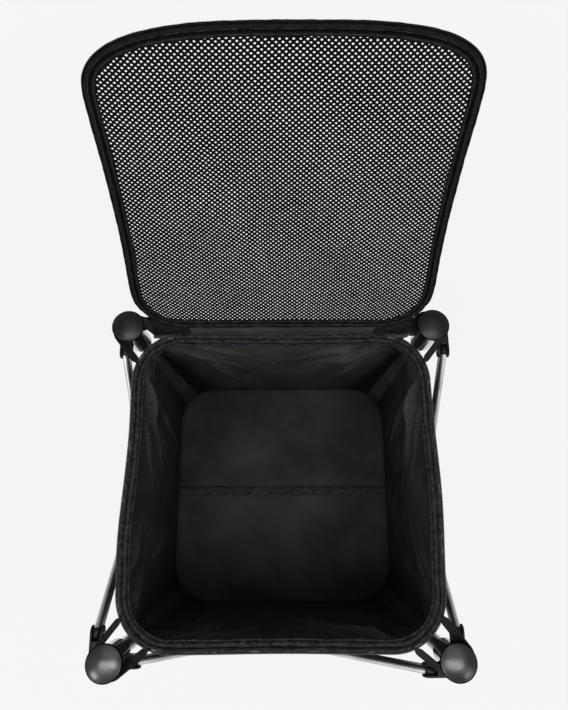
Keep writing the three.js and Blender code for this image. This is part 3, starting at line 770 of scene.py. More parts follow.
WHEEL_RADIUS, TRAIL = 25.0, 17.0
FORK_TOP = 63.0
CHEEK_IN, CHEEK, CHEEK_ROUND = 10.7, 3.2, 9
SPAN = CHEEK_IN + CHEEK
AXLE = (TRAIL, 0, WHEEL_RADIUS)
PEDAL = (37, 0, WHEEL_RADIUS + 22.5)
RIBS = 6


def at_castor(k):
    """A function that puts a castor's own shapes under corner k, with the wheel behind the stem."""
    x, y = CORNER_SIGNS[k]
    return lambda p: np.stack([x * HALF - p[:, 1], y * HALF + p[:, 0], p[:, 2]], 1)


def fork(braked):
    """Two cheeks from the crown down to the axle, a bridge over the wheel, the crown and its stem.
    A braked one also has a lug on each cheek for its pedal."""
    top_of_cheek = FORK_TOP - CHEEK_ROUND
    outlines = [link(0, top_of_cheek, CHEEK_ROUND, TRAIL, WHEEL_RADIUS, CHEEK_ROUND)]
    if braked:
        outlines.append(link(0, top_of_cheek, CHEEK_ROUND, PEDAL[0], PEDAL[2], 4.6))
    parts = [plate(outline, low, low + CHEEK, 0.9) for low in (-SPAN, CHEEK_IN) for outline in outlines]
    bridge = box_outline(-8.8, 8.8, top_of_cheek, FORK_TOP - 0.6, 1.4)
    parts.append(plate(bridge, -SPAN + 0.1, SPAN - 0.1, 1.2))
    crown = rounded([(0, 54), (14.2, 54), (15, 55.2), (15, 57.4), (14.3, 58), (14.3, 59), (15, 59.6),
                     (15, 61.8), (14, 63), (5, 63), (5, 91.5), (4, 93), (0, 93)], 0.6, closed=False)
    parts.append(turned(crown, steps=48))
    return parts


def axle():
    """The axle's two domed caps with their washers."""
    return heads_on_pin([(0, 2.2), (1.6, 2.1), (3.0, 1.5), (3.5, 0.9), (4.6, 0.8), (5.0, 0.5), (5.0, -0.3),
                         (0, -0.3)], -SPAN, SPAN, AXLE)


def tyre():
    """The tyre: a tread crowned across its width, round shoulders and a step down to the rim."""
    section = [(18.6, -6.4), (19.6, -7.6), (22.4, -9.5), (24.4, -7.4), (25, -4), (25, 4), (24.4, 7.4),
               (22.4, 9.5), (19.6, 7.6), (18.6, 6.4)]
    return turned(rounded(section, 2.2, 5), AXLE, "Y", 72, closed=True)


def hub():
    """The hub: a web inside the tyre, six ribs on each face and a boss for the axle."""
    half = [(3.8, -9.4), (7.6, -9.4), (8.4, -8.2), (9.6, -3.4), (17.4, -3.4), (18.8, -6.6), (19.4, -6.6)]
    section = half + [(radius, -across) for radius, across in half[::-1]]
    parts = [turned(rounded(section, 0.7), AXLE, "Y", 48, closed=True)]
    rib = plate(box_outline(8.0, 18.9, -1.0, 1.0, 0.8), -6.0, 6.0, 0.5, 3)
    for i in range(RIBS):
        a = i * TURN / RIBS
        c, s = math.cos(a), math.sin(a)
        parts.append(moved(rib, lambda p: np.stack(
            [TRAIL + c * p[:, 0] - s * p[:, 2], p[:, 1], WHEEL_RADIUS + s * p[:, 0] + c * p[:, 2]], 1)))
    return parts


def pedal():
    """The brake's tread plate with three ribs, on its barrel between the cheeks."""
    z = PEDAL[2]
    tread = [(36, z + 0.2), (60, z + 0.2), (62, z + 1.8), (61.6, z + 4.2), (52, z + 3.9), (36, z + 3.6)]
    ribs = [plate(box_outline(x, x + 2, z + 3.2, z + 4.7, 0.6), -6, 6, 0.5, 3) for x in (47, 51, 55)]
    return [rod(3.7, -10.3, 10.3, 0.6, PEDAL), rod(2.4, -14.1, 14.1, 0.5, PEDAL, 20),
            plate(rounded(tread, 1.4, 5), -7.4, 7.4, 1.0)] + ribs


for k, corner in enumerate(CORNERS):
    put, braked = fitter(corner, at_castor(k)), k < 2
    put("castor_yoke", fork(braked), PLASTIC, "castor", "plastic", "castor_fork")
    put("castor_axle", axle(), RIVET, "castor", "zinc")
    put("castor_tyre", [tyre()], TYRE, "wheel", "wheel", "castor_wheel")
    put("castor_hub", hub(), HUB, "wheel", "wheel")
    if braked:
        put("pedal_tread", pedal(), PLASTIC, "pedal", "plastic", "brake_pedal")

# ---------------------------------------------------------------- bag

BEND = 70.0
STRAIGHT = BAG_HALF - BEND
TAPER, RIM_SAG = 12.0, 1.6
DEPTH = RIM - BAG_FOOT
SIDE_RUN = 2 * STRAIGHT + math.pi / 2 * BEND
STITCH, STITCH_RADIUS, STITCH_SIDES = 4.0, 0.42, 6
COIL_TURN, COIL_SIDES = 2.4, 8


def outline_at(region, share, depth):
    """Place and outward direction on the bag's outline. Even regions are the walls and odd ones the
    corners, going round from the front; share runs from 0 to 1 along the region, and depth from 0
    at the rim to 1 at the foot, where the straight part has drawn in by the taper."""
    straight = STRAIGHT - TAPER * depth
    lead = np.arcsin(np.clip((STRAIGHT - straight) / BEND, 0, 1))
    if region % 2 == 0:
        x = STRAIGHT * (2 * share - 1)
        beyond = np.clip((np.abs(x) - straight) / BEND, 0, 1)
        nx, ny = np.sign(x) * beyond, -np.sqrt(1 - beyond ** 2)
        place = np.stack([x, -(straight - BEND * ny), 0 * x], -1)
        s = (region // 2) * SIDE_RUN + x
    else:
        a = lead + (math.pi / 2 - 2 * lead) * share
        nx, ny = np.sin(a), -np.cos(a)
        place = np.stack([straight + BEND * nx, -straight + BEND * ny, 0 * a], -1)
        s = (region // 2) * SIDE_RUN + STRAIGHT + (SIDE_RUN - 2 * STRAIGHT) * share
    normal = np.stack([nx, ny, 0 * nx], -1)
    c, q = QUARTERS[region // 2]
    spin = np.array([[c, -q, 0], [q, c, 0], [0, 0, 1]], float)
    return place @ spin.T, normal @ spin.T, s


def side_and_place(s):
    """Which side a place on the outline belongs to, and how far it is from that side's middle."""
    return np.floor(s / SIDE_RUN + 0.5) % 4, (s + SIDE_RUN / 2) % SIDE_RUN - SIDE_RUN / 2


def bell(x, centre, width):
    """A bell curve: 1 at its centre, and 0.37 at `width` on both sides of it."""
    return np.exp(-((x - centre) / width) ** 2)


def bow(s):
    """How far the rim strays from straight, in bell curves along each side: the left and right
    sides swell and the front and back dip in slightly."""
    side, x = side_and_place(s)
    right = 5.4 * bell(x, -20, 95)
    left = 4.8 * bell(x, 75, 72) - 1.2 * bell(x, -75, 45)
    return np.where(side % 2 == 0, -1.2 * bell(x, 0, 80), np.where(side == 1, right, left))


def crease(off, near, far):
    """A fold's section: it rises steeply on one side and falls off gently on the other, both as a
    bell curve, `near` and `far` mm wide."""
    return bell(off, 0, np.where(off < 0, near, far))


def folds(s, depth, made):
    """The sum of a list of folds. Each runs down from its start and inwards by its lean, and fades
    above and below its middle as a bell curve of the depth."""
    total = 4 * SIDE_RUN
    height = 0.0
    for start, lean, near, far, size, centre, length in made:
        line = start - lean * DEPTH * depth
        off = ((s - line + total / 2) % total - total / 2) * np.sign(lean)
        height = height + size * crease(off, near, far) * bell(depth, centre, length)
    return height


# A fold is its start on the outline, its lean, its width before and behind its line, its size, and the
# depth of its middle and its length down the bag.
SIDE_ENDS = [(side, sense) for side in range(4) for sense in (-1, 1)]
CLOTH_FOLDS = [
    (side * SIDE_RUN + sense * (SIDE_RUN / 2 - RNG.uniform(4, 26)), sense * RNG.uniform(0.25, 1.1),
     RNG.uniform(4, 9), RNG.uniform(12, 20), RNG.uniform(1.2, 2.8), RNG.uniform(0.2, 0.6),
     RNG.uniform(0.16, 0.3)) for side, sense in SIDE_ENDS for _ in range(4)]
LINING_FOLDS = [
    (side * SIDE_RUN + sense * (SIDE_RUN / 2 - start), sense * lean, near, far,
     size * (1.3 if side == 2 or (side + sense) % 4 == 2 else 1.0), centre, length)
    for side, sense in SIDE_ENDS for start, lean, near, far, size, centre, length in
    ((2 + RNG.uniform(0, 9), 0.75 + RNG.uniform(0, 0.4), 2.6, 16, 8.5, 0.2, 0.2),
     (-6, 0.42 + RNG.uniform(0, 0.2), 3.0, 9, 5.0, 0.12, 0.13),
     (17, 1.0, 1.8, 5, 4.5, 0.2, 0.13), (-1, 0.7, 1.8, 4, 4.0, 0.16, 0.12),
     (24 + RNG.uniform(0, 12), 1.2 + RNG.uniform(0, 0.5), 3.0, 17, 5.0, 0.16, 0.14),
     (44 + RNG.uniform(0, 20), 0.3 + RNG.uniform(0, 0.5), 4.0, 15, 3.2, 0.2, 0.16),
     (10 + RNG.uniform(0, 14), 0.2 + RNG.uniform(0, 0.3), 4.0, 12, 4.5, 0.55, 0.25))]


def slack(s, depth):
    """The cloth's own relief in mm: each wall draws in between its corners, wide soft waves hang
    down it, folds run in from the corners, and the foot is puckered by its seam."""
    angle = TURN * s / SIDE_RUN
    wall = (1 + np.cos(angle)) / 2
    hang = np.sin(math.pi * np.clip(depth, 0, 1))
    height = -5.5 * wall * hang
    height += hang * (1.3 * np.sin(3.25 * angle + 1.1 + 2 * depth) + 0.9 * np.sin(5.5 * angle + 4 * depth))
    height += folds(s, depth, CLOTH_FOLDS)
    height += 1.4 * bell(depth, 0.93, 0.05) * np.sin(7 * angle)
    return height * np.clip(depth * 12, 0, 1) * np.clip((1 - depth) * 16, 0, 1)


def bunch(s, depth):
    """How far the lining stands off the cloth, in mm: folds gathered at the corners, a ridge along
    each corner's seam, small gathers under the hem, and a soft crumple everywhere."""
    angle = TURN * s / SIDE_RUN
    corner = (1 - np.cos(angle)) / 2
    height = folds(s, depth, LINING_FOLDS)
    height += 2.2 * bell(((s / SIDE_RUN) % 1 - 0.5) * SIDE_RUN, 0, 1.6)
    height += 1.2 * bell(depth, 0, 0.09) * (1 + np.sin(11.25 * angle + 2.0 * np.sin(3 * angle)))
    height += 2.0 * corner ** 6 * bell(depth, 0, 0.2) * (1 + np.sin(16 * angle + 9 * depth))
    height += 0.7 * (1 + np.sin(4.5 * angle + 9 * depth) * np.sin(7 * depth - 2.25 * angle))
    return height


def ripples(a, out, off, rows):
    """Small waves of sewn tape, in mm, which differ from ridge to ridge across it: the sum of sines,
    each with its size, a whole number of waves round the edge, a shift per mm outwards, a shift
    per mm off the tape, and a start."""
    return sum(size * np.sin(count * a + lean * out + rise * off + start)
               for size, count, lean, rise, start in rows)


HEM_RIPPLES = ((0.34, 61, 0.9, 0, 0), (0.26, 97, -0.7, 0.4, 0), (0.2, 143, 1.3, 0, 2), (0.45, 23, 0.35, 0, 1))
LID_RIPPLES = ((0.3, 53, 0.9, 0, 0), (0.24, 89, -0.8, 0.5, 0), (0.16, 127, 1.4, 0, 2), (0.35, 19, 0.3, 0, 1))


def pucker(s, out, z):
    """The hem's small waves."""
    return ripples(TURN * s / (4 * SIDE_RUN), out, z, HEM_RIPPLES)


def bag_point(region, share, z, out, form=slack):
    """A point of the bag: on the outline at its height, moved outwards by `out`, the rim's bow and
    the cloth's form. The rim sags a little between the corners."""
    depth = np.clip((RIM - z) / DEPTH, 0, 1)
    place, normal, s = outline_at(region, share, depth)
    push = out + bow(s) * (1 - depth) ** 1.5 + form(s, depth)
    point = place + normal * push[..., None]
    point[..., 2] = z - RIM_SAG * (1 + np.cos(TURN * s / SIDE_RUN)) / 2 * (1 - depth) ** 2
    return point, s


def bag_shell(region, columns, section, form=slack, wave_up=0.0):
    """A closed section of (out, z) carried along one region of the bag. Sewn tape also puckers."""
    share = np.linspace(0, 1, columns)[:, None]
    out, z = np.asarray(section, float).T
    out, z = out[None] + 0 * share, z[None] + 0 * share
    _, _, s = outline_at(region, share + 0 * z, 0 * z)
    ripple = wave_up * pucker(s, out, z - RIM)
    rings, s = bag_point(region, share + 0 * z, z + ripple, out + 0.5 * ripple, form)
    points, faces, thread = shell(rings)
    thread[:, 0] = s.ravel()
    # The lining's thread carries painted shade for its colour.
    if form is lining_form:
        thread[:, 2] = painted_crease_shade(s, np.clip((RIM - z) / DEPTH, 0, 1)).ravel()
    return points, faces, thread


def layer(low, high, outer, inner):
    """The section of one layer of cloth: down its outer face and up its inner one."""
    z = np.linspace(high, low, 72)
    down = np.stack([0 * z + outer, z], 1)
    up = np.stack([0 * z + inner, z[::-1]], 1)
    return np.concatenate([down, up])


def lining_form(s, depth):
    """The cloth's slack, less how far the lining stands off it; it is held at the hem and foot."""
    held = np.clip(depth * 9 - 0.25, 0, 1) * np.clip((1 - depth) * 12, 0, 1)
    return slack(s, depth) - bunch(s, depth) * held


def painted_crease_shade(s, depth):
    """How much painted shade the lining's colour takes: 1 in the crease beside each corner's seam, deepest on
    the back wall, more towards the foot, and below 0, painted light, on the ridges of the folds."""
    side, x = side_and_place(s)
    off = SIDE_RUN / 2 - np.abs(x) - 7 - 16 * depth
    valley = crease(off, 5.0, 14 + 30 * depth) * np.clip(depth * 9, 0, 1) * np.where(side == 2, 1.0, 0.5)
    ridge = np.clip(folds(s, depth, LINING_FOLDS) / 9, 0, 1) * bell(depth, 0.15, 0.2)
    return np.clip(valley + 0.5 * depth ** 1.5, 0, 1) - 0.35 * ridge * (1 - valley)


# The sections of the bag's foot and rim, as (out, z). The flange turns in under the floor boards and the
# welt is a piped seam. The hem runs, from inside, over the lining's fold, two ridges of tape with
# grooves between, the piped outer edge, and the binding's band down to its seam.
FLANGE = rounded([(-18, BAG_FOOT - 0.9), (-0.6, BAG_FOOT - 0.9), (0.2, BAG_FOOT + 1.6),
                  (-18, BAG_FOOT - 0.2)], 0.5, 3)
WELT = oval(5.2, 5.2, 14) + np.array([-0.4, BAG_FOOT + 3.2])
HEM = rounded([(-2.6, -27.5), (-6.4, -20.5), (-10.6, -13.5), (-13.8, -8), (-15.9, -4.0), (-16.0, -1.9),
               (-15.0, -0.6), (-13.9, -0.7), (-13.1, -1.7), (-12.6, -3.6), (-12.0, -1.9), (-10.8, -0.3),
               (-8.7, 0.2), (-7.0, -0.5), (-6.3, -1.9), (-5.8, -4.0), (-5.2, -2.0), (-4.1, -0.4), (-2.2, 0.4),
               (-0.5, 0.1), (0.2, -1.2), (0.5, -3.4), (1.0, -4.8), (0.7, -6.4), (0.9, -9), (1.0, -20.5),
               (0.8, -23.6), (-0.2, -25.6), (-1.2, -27.5)], 4.0, 5) + np.array([0, RIM])
HEM_SEAMS = ((1.15, -22.6), (1.15, -19.2), (0.95, -8.2))


def coil(s, out, off, wide, high, swing):
    """The section of a zip's coil at each place s: it swells and shrinks once per turn. It is drawn at
    2.4 mm a turn, as a real one of 1.2 mm is too fine to show."""
    a = full_turn(COIL_SIDES)
    swell = 1.0 + swing * np.sin(TURN * s / COIL_TURN)
    return out + wide * swell * np.cos(a), off + high * swell * np.sin(a)


def stitch_rows(region, columns, rows):
    """Thread along the hem: a thin line that rises over each stitch and dives between them. Stitches
    are 4 mm long, as a real one of 3 mm is too fine to show."""
    shells = []
    share = np.linspace(0, 1, columns)[:, None]
    a = full_turn(STITCH_SIDES)
    for out, z in rows:
        _, _, s = outline_at(region, share, 0 * share)
        lift = 0.55 * np.abs(np.sin(math.pi * s / STITCH)) - 0.32
        ring_out = out + lift + STITCH_RADIUS * np.cos(a)[None]
        ring_z = RIM + z + STITCH_RADIUS * np.sin(a)[None] + 0 * share
        ripple = pucker(s + 0 * ring_z, out + 0 * ring_z, z)
        points, _ = bag_point(region, share + 0 * ring_z, ring_z + ripple, ring_out + 0.5 * ripple)
        shells.append(shell(points))
    return shells


def coil_row(region, columns):
    """One half of the zip, on the rim's outer edge."""
    share = np.linspace(0, 1, columns)[:, None]
    _, _, s = outline_at(region, share, 0 * share)
    out, z = coil(s, 1.6, RIM - 2.6, 1.5, 1.5, 0.3)
    return shell(bag_point(region, share + 0 * z, z, out)[0])


def wall_fold(k):
    """An axis, a place and a kept share for a wall of the bag, which gathers towards the corner that it is
    anchored at, along X or along Y.
    """
    edge = STRAIGHT * MM
    if k % 2 == 0:
        return (1, 0, 0), (-edge, 0, 0), WALL_KEPT
    return (0, 1, 0), (0, edge + CENTRE[1] * MM, 0), WALL_KEPT


WALL_BODY = ("front_left", "back_right", "back_left", "back_left")
WALL_COLUMNS, CORNER_COLUMNS = (145, 722), (57, 276)
for region in range(8):
    side, is_wall = region // 2, region % 2 == 0
    if is_wall:
        name, body, gather = SIDES[side], "leg_" + WALL_BODY[side], wall_fold(side)
        node, (columns, fine) = "bag_wall_" + name, WALL_COLUMNS
    else:
        name, gather = "corner_" + CORNERS[(side + 1) % 4], None
        body, node, (columns, fine) = name.replace("corner", "leg"), "bag_" + name, CORNER_COLUMNS
    cloth = bag_shell(region, columns, layer(BAG_FOOT + 1.2, RIM - 17, 0.0, -0.9))
    lining = bag_shell(region, columns, layer(BAG_FOOT + 4.4, RIM - 4, -1.1, -1.9), lining_form)
    welt, flange = bag_shell(region, columns, WELT), bag_shell(region, columns, FLANGE)
    hem = bag_shell(region, columns, HEM, wave_up=1.0)
    seams = stitch_rows(region, fine // 2, HEM_SEAMS)
    for kind, shells, finish, slot, nodes in (
            ("cloth_", [cloth], CLOTH, "fabric", [node]), ("lining_", [lining], LINING, "fabric", [node]),
            ("foot_welt_", [welt], PIPING, "binding", ()), ("foot_flange_", [flange], CLOTH, "fabric", ()),
            ("rim_hem_", [hem], BINDING, "binding", ()), ("hem_stitches_", seams, THREAD, "binding", ()),
            ("rim_zip_", [coil_row(region, fine)], COIL, "binding", ())):
        if kind + name != "rim_zip_back":
            sewn(kind + name, shells, finish, body, nodes, gather)


# Painted shade: the floor boards' cloth is darkened as if less lit deep in the bag.
BOARD_PAINTED_SHADE = 0.4
FLOOR_HALF = BAG_HALF - TAPER
RINGS_UNDER, RINGS_OVER = 12, 26


def board(sense):
    """Half of the floor: a board in lining cloth. Rings shrink from its edge to its middle, the edge
    is a half round, and the cloth on top swells by up to 1.5 mm and waves slightly."""
    inset = 2.6
    half, bend = FLOOR_HALF - inset, BEND - inset
    a = np.linspace(0, math.pi / 2, 14)
    arc = np.stack([half - bend + bend * np.cos(a), half - bend + bend * np.sin(a)], 1)
    right = np.concatenate([[(half, 0.1)], arc])
    outline = rounded(np.concatenate([right, right[::-1] * [-1, 1]]), 2.0, 3)
    outline = spaced(outline, 240, closed=True)
    centre = np.array([0, half / 2])
    low, high = BAG_FOOT + 0.1, BAG_FOOT + 4.0
    share = np.concatenate([np.linspace(0.04, 0.985, RINGS_UNDER), [1.0, 1.0],
                            np.linspace(0.985, 0.0, RINGS_OVER)])
    z = np.concatenate([np.full(RINGS_UNDER, low), [low + 1.2, high - 1.2], np.full(RINGS_OVER, high)])
    ring = centre + (outline - centre)[None] * share[:, None, None]
    x, y = ring[..., 0], ring[..., 1]
    swell = 1.5 * np.clip(1 - share ** 6, 0, 1)[:, None]
    waves = 0.5 * np.sin(x / 23 + 0.8) * np.sin(y / 19) + 0.35 * np.sin((x + 1.7 * y) / 13)
    over = np.arange(len(share))[:, None] >= len(share) - RINGS_OVER
    up = z[:, None] + np.where(over, swell * (1 + 0.5 * waves), 0)
    points, faces, _ = shell(np.stack([sense * x, sense * y, up], 2))
    # The board's thread carries painted shade for its colour.
    return points, faces, woven(points[:, 0], points[:, 1], BOARD_PAINTED_SHADE)


def joint_tape():
    """The tape over the seam between the two boards: a flat strip with a rolled edge."""
    x = np.linspace(-(FLOOR_HALF - 5), FLOOR_HALF - 5, 90)
    y, z = np.array([(-9, 0.0), (-8.4, 0.9), (0, 1.1), (8.4, 0.9), (9, 0.0), (0, 0.1)]).T
    lift = BAG_FOOT + 4.1 + 0.35 * np.sin(x / 21)[:, None]
    points, faces, _ = shell(np.stack([x[:, None] + 0 * y, y + 0 * x[:, None], lift + z], 2))
    return points, faces, woven(points[:, 0], points[:, 1])


FLOOR_GATHER = ((1, 0, 0), (-FLOOR_HALF * MM, 0, 0), PANEL_KEPT)
for half, sense in (("back", 1), ("front", -1)):
    name = "bag_floor_" + half
    sewn("floor_board_" + half, [board(sense)], LINING, name, [name], FLOOR_GATHER)
sewn("floor_joint_tape", [joint_tape()], BINDING, "bag_floor_back", (), FLOOR_GATHER)

# ---------------------------------------------------------------- straps

STRAP_TWIST = ((29, 29), (29, 29), (29, 46), (46, 29))
STRAP_WIDE, STRAP_THICK = 18.8, 1.8
STRAP_SPREAD = math.radians(21)
STRAP_PLAY, STRAP_DROP, STRAP_SINK = 6.0, 9.5, 7


def strap(first, second):
    """A webbing loop about a leg: round the sleeve, then by its tangents to the bag's corner, where
    both ends turn down onto the hem. Between leg and bag each of its two runs twists by an angle,
    in degrees, and back, so that its upper edge leans over the free side."""
    reach, centre = HALF * math.sqrt(2), STRAIGHT * math.sqrt(2)
    radius = SLEEVE_RADIUS + GAP + STRAP_PLAY
    over, inside = BEND + 1.2, BEND - 0.5
    end = np.array([centre + over * math.cos(STRAP_SPREAD), over * math.sin(STRAP_SPREAD) + 1.0])
    turn = STRAP_SPREAD * 1.14
    tail = np.array([centre + inside * math.cos(turn), inside * math.sin(turn)])
    gap = np.array([reach - end[0], end[1]])
    tangent = math.atan2(gap[1], -gap[0]) - math.acos(radius / np.linalg.norm(gap))
    a = np.linspace(-tangent, tangent, 40)
    loop = np.stack([reach + radius * np.cos(a), radius * np.sin(a)], 1)
    line = np.concatenate([[tail * [1, -1], end * [1, -1]], loop, [end, tail]])
    line = spaced(rounded(line, 5.0, 5, closed=False), 140)
    sink = np.clip((reach - SLEEVE_RADIUS - 4 - line[:, 0]) / 40, 0, 1)
    z = CAP_FOOT - 0.6 - STRAP_DROP - STRAP_SINK * sink ** 1.4
    path = np.concatenate([line, z[:, None]], 1)
    section = box_outline(-STRAP_THICK / 2, STRAP_THICK / 2, -STRAP_WIDE / 2, STRAP_WIDE / 2, 0.8, 4)
    at = run(path, 0) / run(path, 0)[-1]
    near = np.minimum(at, 1 - at)
    full = np.clip(near / 0.07, 0, 1) * np.clip((0.43 - near) / 0.13, 0, 1)
    full = full * full * (3 - 2 * full)
    twist = np.where(at < 0.5, math.radians(first), -math.radians(second)) * full
    c, s = np.cos(twist)[:, None], np.sin(twist)[:, None]
    section = np.stack([c * section[:, 0] - s * section[:, 1], s * section[:, 0] + c * section[:, 1]], 2)
    to_front_left = -0.75 * math.pi
    return moved(swept(path, section), spun(math.cos(to_front_left), math.sin(to_front_left)))


for k, corner in enumerate(CORNERS):
    put = fitter(corner, quarter(k))
    put("hanger_loop", [strap(*STRAP_TWIST[k])], WEBBING, "leg", "fabric", "bag_strap")

# ---------------------------------------------------------------- lid

LID_HALF, LID_FAR, LID_NEAR = 205.0, 416.9, 12.3
LID_BEND, SHOULDER, LEFT_FULLNESS, RIGHT_FULLNESS = 62.0, 340.0, 2.9, 3.4
HINGE = np.array([0, BAG_HALF - GAP, RIM + GAP])
UP_LID = np.array([0, math.sin(LEAN), math.cos(LEAN)])
OFF_LID = np.array([0, -math.cos(LEAN), math.sin(LEAN)])


def lid_point(u, v, w):
    """A point of the lid from its place across, up and off it. Its sides draw in at mid height and
    swell near the hinge and the top, it leans a little to the right, and its middle sags back."""
    swell = 3.4 * bell(v, 85, 45) - 1.0 * bell(v, 215, 60) + 2.0 * bell(v, 350, 50)
    x = u * (1 + swell / LID_HALF) + 1.8 + 0.010 * v
    sag = -5.0 * (1 - (u / LID_HALF) ** 2) * np.sin(math.pi * np.clip(v / LID_FAR, 0, 1))
    flat = np.stack([x, 0 * x, 0 * x], -1)
    return HINGE + flat + v[..., None] * UP_LID + (w + sag)[..., None] * OFF_LID


def lid_outline(count):
    """The lid's edge, from the middle of the hinge edge to the right: a round corner, a straight
    side, and above the shoulder a superellipse, |x / a|^n + |y / b|^n = 1, fuller on the right."""
    bend, arc = np.linspace(0, math.pi / 2, 24), np.linspace(0, math.pi / 2, 400)
    near = np.stack([LID_HALF - LID_BEND + LID_BEND * np.sin(bend),
                     LID_NEAR + LID_BEND - LID_BEND * np.cos(bend)], 1)
    right, left = (np.concatenate([[(0, LID_NEAR)], near, np.stack([
        LID_HALF * np.cos(arc) ** (2 / full),
        SHOULDER + (LID_FAR - SHOULDER) * np.sin(arc) ** (2 / full)], 1)])
        for full in (RIGHT_FULLNESS, LEFT_FULLNESS))
    left = (left * [-1, 1])[::-1][1:-1]
    return spaced(np.concatenate([right, left]), count, closed=True)


def lid_band(count, section):
    """A closed section of (out, off) carried round the lid's edge, with its tape's small waves."""
    edge = lid_outline(count)
    normal = facing(edge)
    out, off = np.moveaxis(np.broadcast_to(section, (count,) + np.shape(section)[-2:]), -1, 0)
    off = off + ripples(TURN * np.arange(count)[:, None] / count, out, off, LID_RIPPLES)
    u = edge[:, :1] + normal[:, :1] * out
    v = edge[:, 1:] + normal[:, 1:] * out
    return shell(lid_point(u, v, off), closed=True)


BORDER = [(-13.4, -3.8), (-14.3, -2.8), (-14.0, -1.5), (-12.4, -0.9), (-10.4, -1.2), (-9.6, -2.4),
          (-9.2, -4.4), (-8.0, -4.6), (-7.5, -2.4), (-6.6, -0.6), (-4.9, 0.5), (-3.2, 0.2), (-2.2, -1.0),
          (-1.8, -3.0), (-1.3, -1.6), (-0.2, -1.2), (0.7, -2.0), (0.6, -3.6), (-2.4, -4.6), (-4.4, -5.4),
          (-6.6, -5.8), (-9.2, -5.6), (-11.2, -4.9)]
LID_GATHER = ((1, 0, 0), (-LID_HALF * MM, 0, 0), PANEL_KEPT)


def lid_stitches(out, off):
    """Thread round the lid, rising and diving once per 4 mm stitch, as a real one of 3 mm is too
    fine to show."""
    count, length = 1500, 1500.0
    s = np.arange(count) / count * length
    a = full_turn(STITCH_SIDES)
    lift = 0.5 * np.abs(np.sin(math.pi * s / STITCH)) - 0.25
    return lid_band(count, np.stack([out + STITCH_RADIUS * np.cos(a) + 0 * s[:, None],
                                     off + lift[:, None] + STITCH_RADIUS * np.sin(a)], 2))


def lid_coil():
    """The lid's half of the zip, along its outer edge."""
    count, length = 3000, 1560.0
    s = np.arange(count)[:, None] / count * length
    return lid_band(count, np.stack(coil(s, -0.5, -3.9, 1.0, 0.9, 0.28), 2))


def lid_piece(name, shells, finish, nodes=(), body="lid"):
    """A piece of the lid's edge or hinge, which rides on the lid unless another body is given."""
    sewn(name, shells, finish, body, nodes, LID_GATHER)


lid_piece("lid_border", [lid_band(840, rounded(BORDER, 2.5, 4))], BORDER_TAPE, ["lid_frame"])
lid_piece("lid_stitches", [lid_stitches(-11.6, -1.0), lid_stitches(-6.2, -0.3)], DARK_THREAD)
lid_piece("lid_zip", [lid_coil()], COIL)

NET_PITCH, NET_RISE = 6.8, 3.0
NET_INSET, NET_OFF, NET_THICK = 7.0, -2.9, 0.8
HOLE_SIDES, HOLE_SIZE, HOLE_WIDE, HOLE_HIGH = 8, 1.19, 1.14, 0.96
KEY_SHIFT, KEY_ROW = 500, 1000


def net_cells():
    """Middles of the net's cells: rows 3 mm apart, holes 6.8 mm apart along a row, and every second
    row shifted by half of that. Only cells within the border are kept."""
    across, up = math.ceil(LID_HALF / NET_PITCH), math.ceil((LID_FAR - LID_NEAR) / NET_RISE)
    i, j = np.meshgrid(np.arange(-across, across + 1), np.arange(up + 1))
    u = (i + 0.5 * (j % 2)) * NET_PITCH
    v = LID_NEAR + j * NET_RISE
    keep = inside_lid(u, v, NET_INSET)
    return u[keep], v[keep], (2 * i + j % 2)[keep], j[keep]


def inside_lid(u, v, inset):
    """True within the lid's edge, moved in by inset: within the straight sides and the corner
    circles, and above the shoulder within the superellipse."""
    bend = LID_BEND - inset
    x = np.maximum(np.abs(u) - (LID_HALF - LID_BEND), 0)
    y = np.maximum(LID_NEAR + LID_BEND - v, 0)
    low = np.hypot(x, y) < bend
    full = np.where(u > 0, RIGHT_FULLNESS, LEFT_FULLNESS)
    high = (np.abs(u) / (LID_HALF - inset)) ** full + (
        np.maximum(v - SHOULDER, 0) / (LID_FAR - inset - SHOULDER)) ** full < 1
    return low & high


